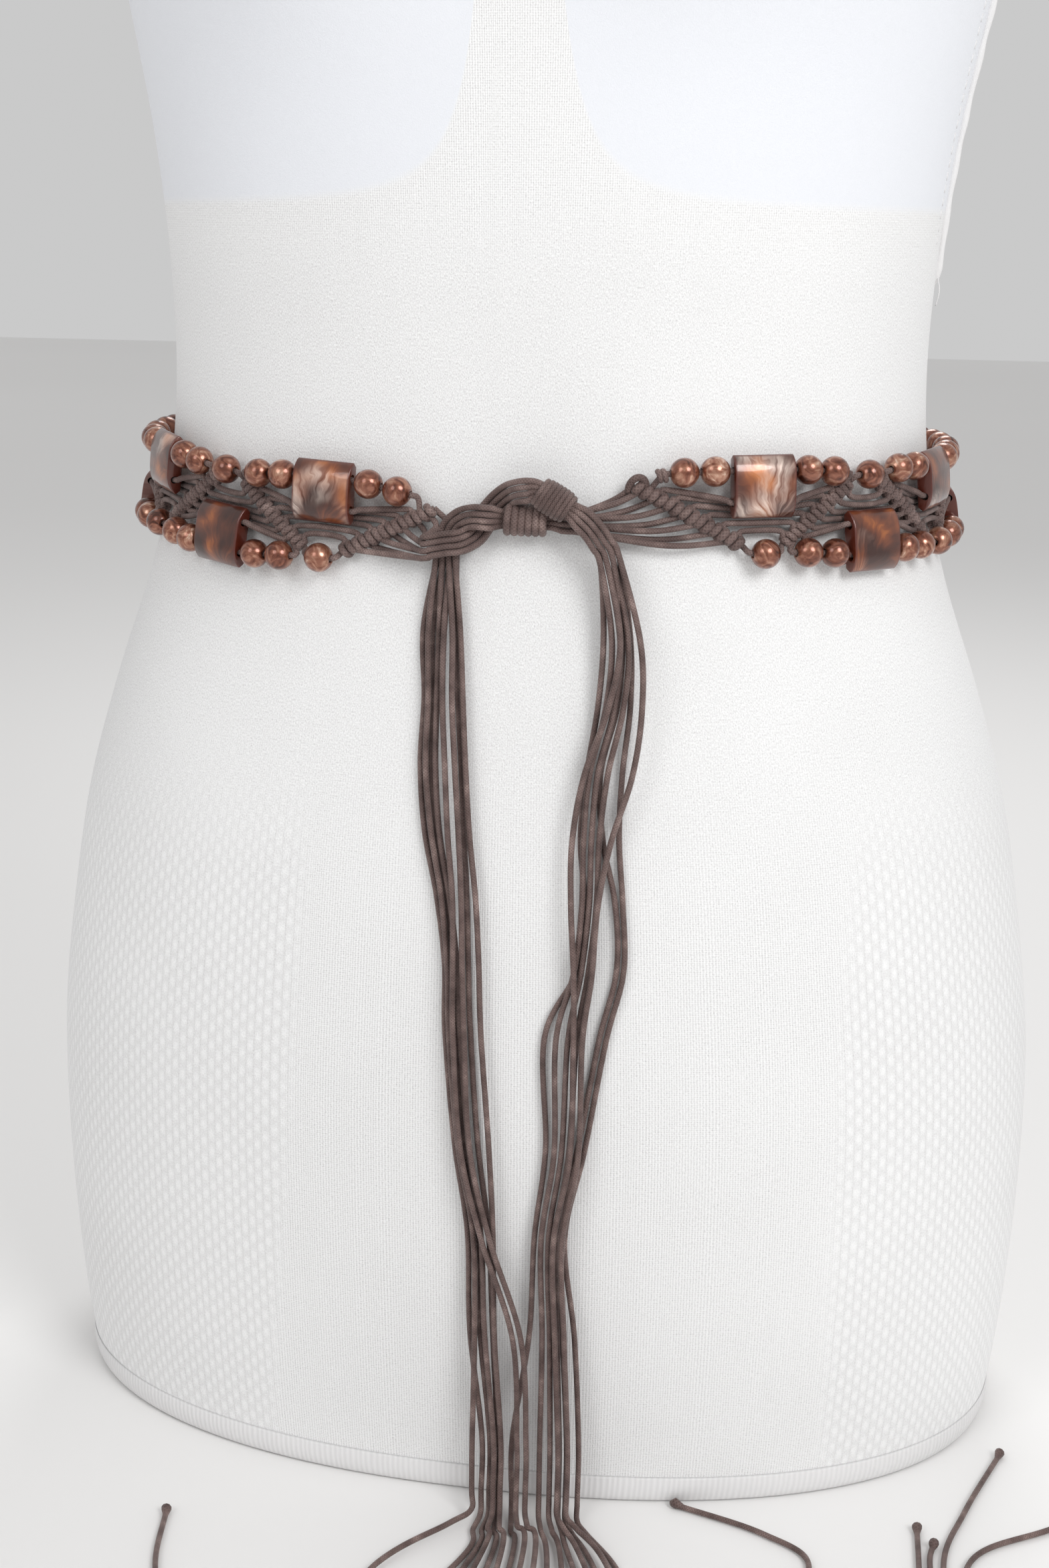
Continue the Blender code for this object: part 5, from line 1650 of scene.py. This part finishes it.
seam_store = new_store()
roll = [form_beside(angle, height, SEAM_OUT) for height, angle in SEAM_ROWS[1:-1]]
roll.insert(0, form_beside(SEAM_ROWS[0][1], SEAM_ROWS[0][0], -SEAM_OUT))
roll.append(form_beside(SEAM_ROWS[-1][1], SEAM_ROWS[-1][0], -SEAM_OUT))
seam_path = smooth_path(roll, 2.0)
draw_cord(seam_store, seam_path,
          [SEAM_RADIUS + SEAM_UNEVEN * math.sin(step * 0.7) for step in range(len(seam_path))])
thread = [form_beside(*row) for row in THREAD_ROWS]
draw_cord(seam_store, smooth_path(thread, 0.8), THREAD_RADIUS, THREAD_SIDES)
stitches = int((SEAM_ROWS[-1][0] - SEAM_ROWS[1][0]) / STITCH_STEP)
for number in range(2, stitches):
    height = SEAM_ROWS[1][0] + STITCH_STEP * number
    angle = smooth_value(SEAM_ROWS, height, 1) - STITCH_TURN
    stitch = [form_beside(angle, height, STITCH_OUT),
              form_beside(angle, height + STITCH_LENGTH, STITCH_OUT)]
    draw_cord(seam_store, stitch, THREAD_RADIUS, THREAD_SIDES)
seam = make_piece("side_seam", seam_store, hem_knit, ["dress_form"])
print("the seam is", round(path_length(seam_path)), "mm long with", stitches - 2, "stitches")

# %% [markdown]
# ## The hem band
#
# Round the foot the cover ends in a narrow ribbed band. It is a thin wall that follows the form's
# foot just outside it, with rounded edges. With it the cover is whole.

# %% Hem band
HEM_ROUND = 216
HEM_HEIGHT = 0.005
# The band's cross outline: height, and way out from the form
HEM_PROFILE = (
    (0.6, 0.3), (0.6, 1.1), (1.4, 1.6), (3.2, 1.8), (5.4, 1.6), (7.6, 1.1), (9.4, 0.5), (10.6, 0.1),
)

hem_store = new_store()
hem_angles, hem_girth = even_angles(HEM_ROUND, HEM_HEIGHT)
hem_column_mm = hem_girth / MM / HEM_ROUND
for height, out in HEM_PROFILE:
    for angle in hem_angles:
        hem_store["points"].append(form_beside(angle, height * MM, out))
for row, (height, _) in enumerate(HEM_PROFILE):
    after = (row + 1) % len(HEM_PROFILE)
    ring_faces(hem_store, row * HEM_ROUND, after * HEM_ROUND, HEM_ROUND,
               lambda index: (index * hem_column_mm, (index + 1) * hem_column_mm, height,
                              HEM_PROFILE[after][0]))
hem = make_piece("ribbed_hem_band", hem_store, hem_knit, ["cover_hem_band"])
print("the hem is", round(hem_girth / MM), "mm round")

# %% [markdown]
# ## Table, light and air
#
# The form stands on a plain pale table. Two soft lamps stand to the left and right of the camera,
# about 30 degrees up, which gives each bead its pair of highlights. The right one is the stronger,
# so the form shades off gently to the left. A third lights the back, and a pale sky fills the rest.

# %% Stage and lights
TABLE_SIZE = 14.0

table_white = new_material("pale_table", Roughness=0.6, Specular_IOR_Level=0.25)
table_noise = add_node(table_white, "TexNoise", {"Scale": 4.0, "Detail": 3.0})
table_colour = add_node(table_white, "ValToRGB", [table_noise], (
    (0.3, "#ecebea"), (0.7, "#f2f1f0")))
finish_surface(table_white, table_colour)
table_mesh = bpy.data.meshes.new("table")
half = TABLE_SIZE / 2
table_mesh.from_pydata([(-half, -half, 0), (half, -half, 0), (half, half, 0), (-half, half, 0)],
                       [], [(0, 1, 2, 3)])
table_mesh.materials.append(table_white)
table = bpy.data.objects.new("table", table_mesh)
bpy.context.scene.collection.objects.link(table)

LAMP_SIZE = 0.80
LAMP_AWAY = 1.7
LAMP_TARGET = Vector((0.0, -0.1, 0.33))
SKY_STRENGTH = 0.67
# Lamps: turn from the camera's axis, height angle, power in watts
LAMPS = (
    (-36.0, 30.0, 5.0),
    (34.0, 32.0, 13.5),
    (170.0, 42.0, 7.0),
)
for number, (turn_degrees, rise_degrees, power) in enumerate(LAMPS):
    lamp_data = bpy.data.lights.new(f"lamp_{number}", "AREA")
    lamp_data.shape = "DISK"
    lamp_data.size = LAMP_SIZE
    lamp_data.energy = power
    lamp = bpy.data.objects.new(f"lamp_{number}", lamp_data)
    angle = TIE_ANGLE + math.radians(turn_degrees)
    rise = math.radians(rise_degrees)
    away = Vector((math.sin(angle) * math.cos(rise), -math.cos(angle) * math.cos(rise),
                   math.sin(rise)))
    lamp.location = LAMP_TARGET + away * LAMP_AWAY
    lamp.rotation_euler = away.to_track_quat("Z", "Y").to_euler()
    bpy.context.scene.collection.objects.link(lamp)

world = bpy.data.worlds.new("pale_air")
bpy.context.scene.world = world
world.use_nodes = True
background = world.node_tree.nodes["Background"]
background.inputs["Color"].default_value = linear("#f1f1f1")
background.inputs["Strength"].default_value = SKY_STRENGTH
bpy.context.scene.view_settings.view_transform = "Standard"
print("lit with", len(LAMPS), "lamps")
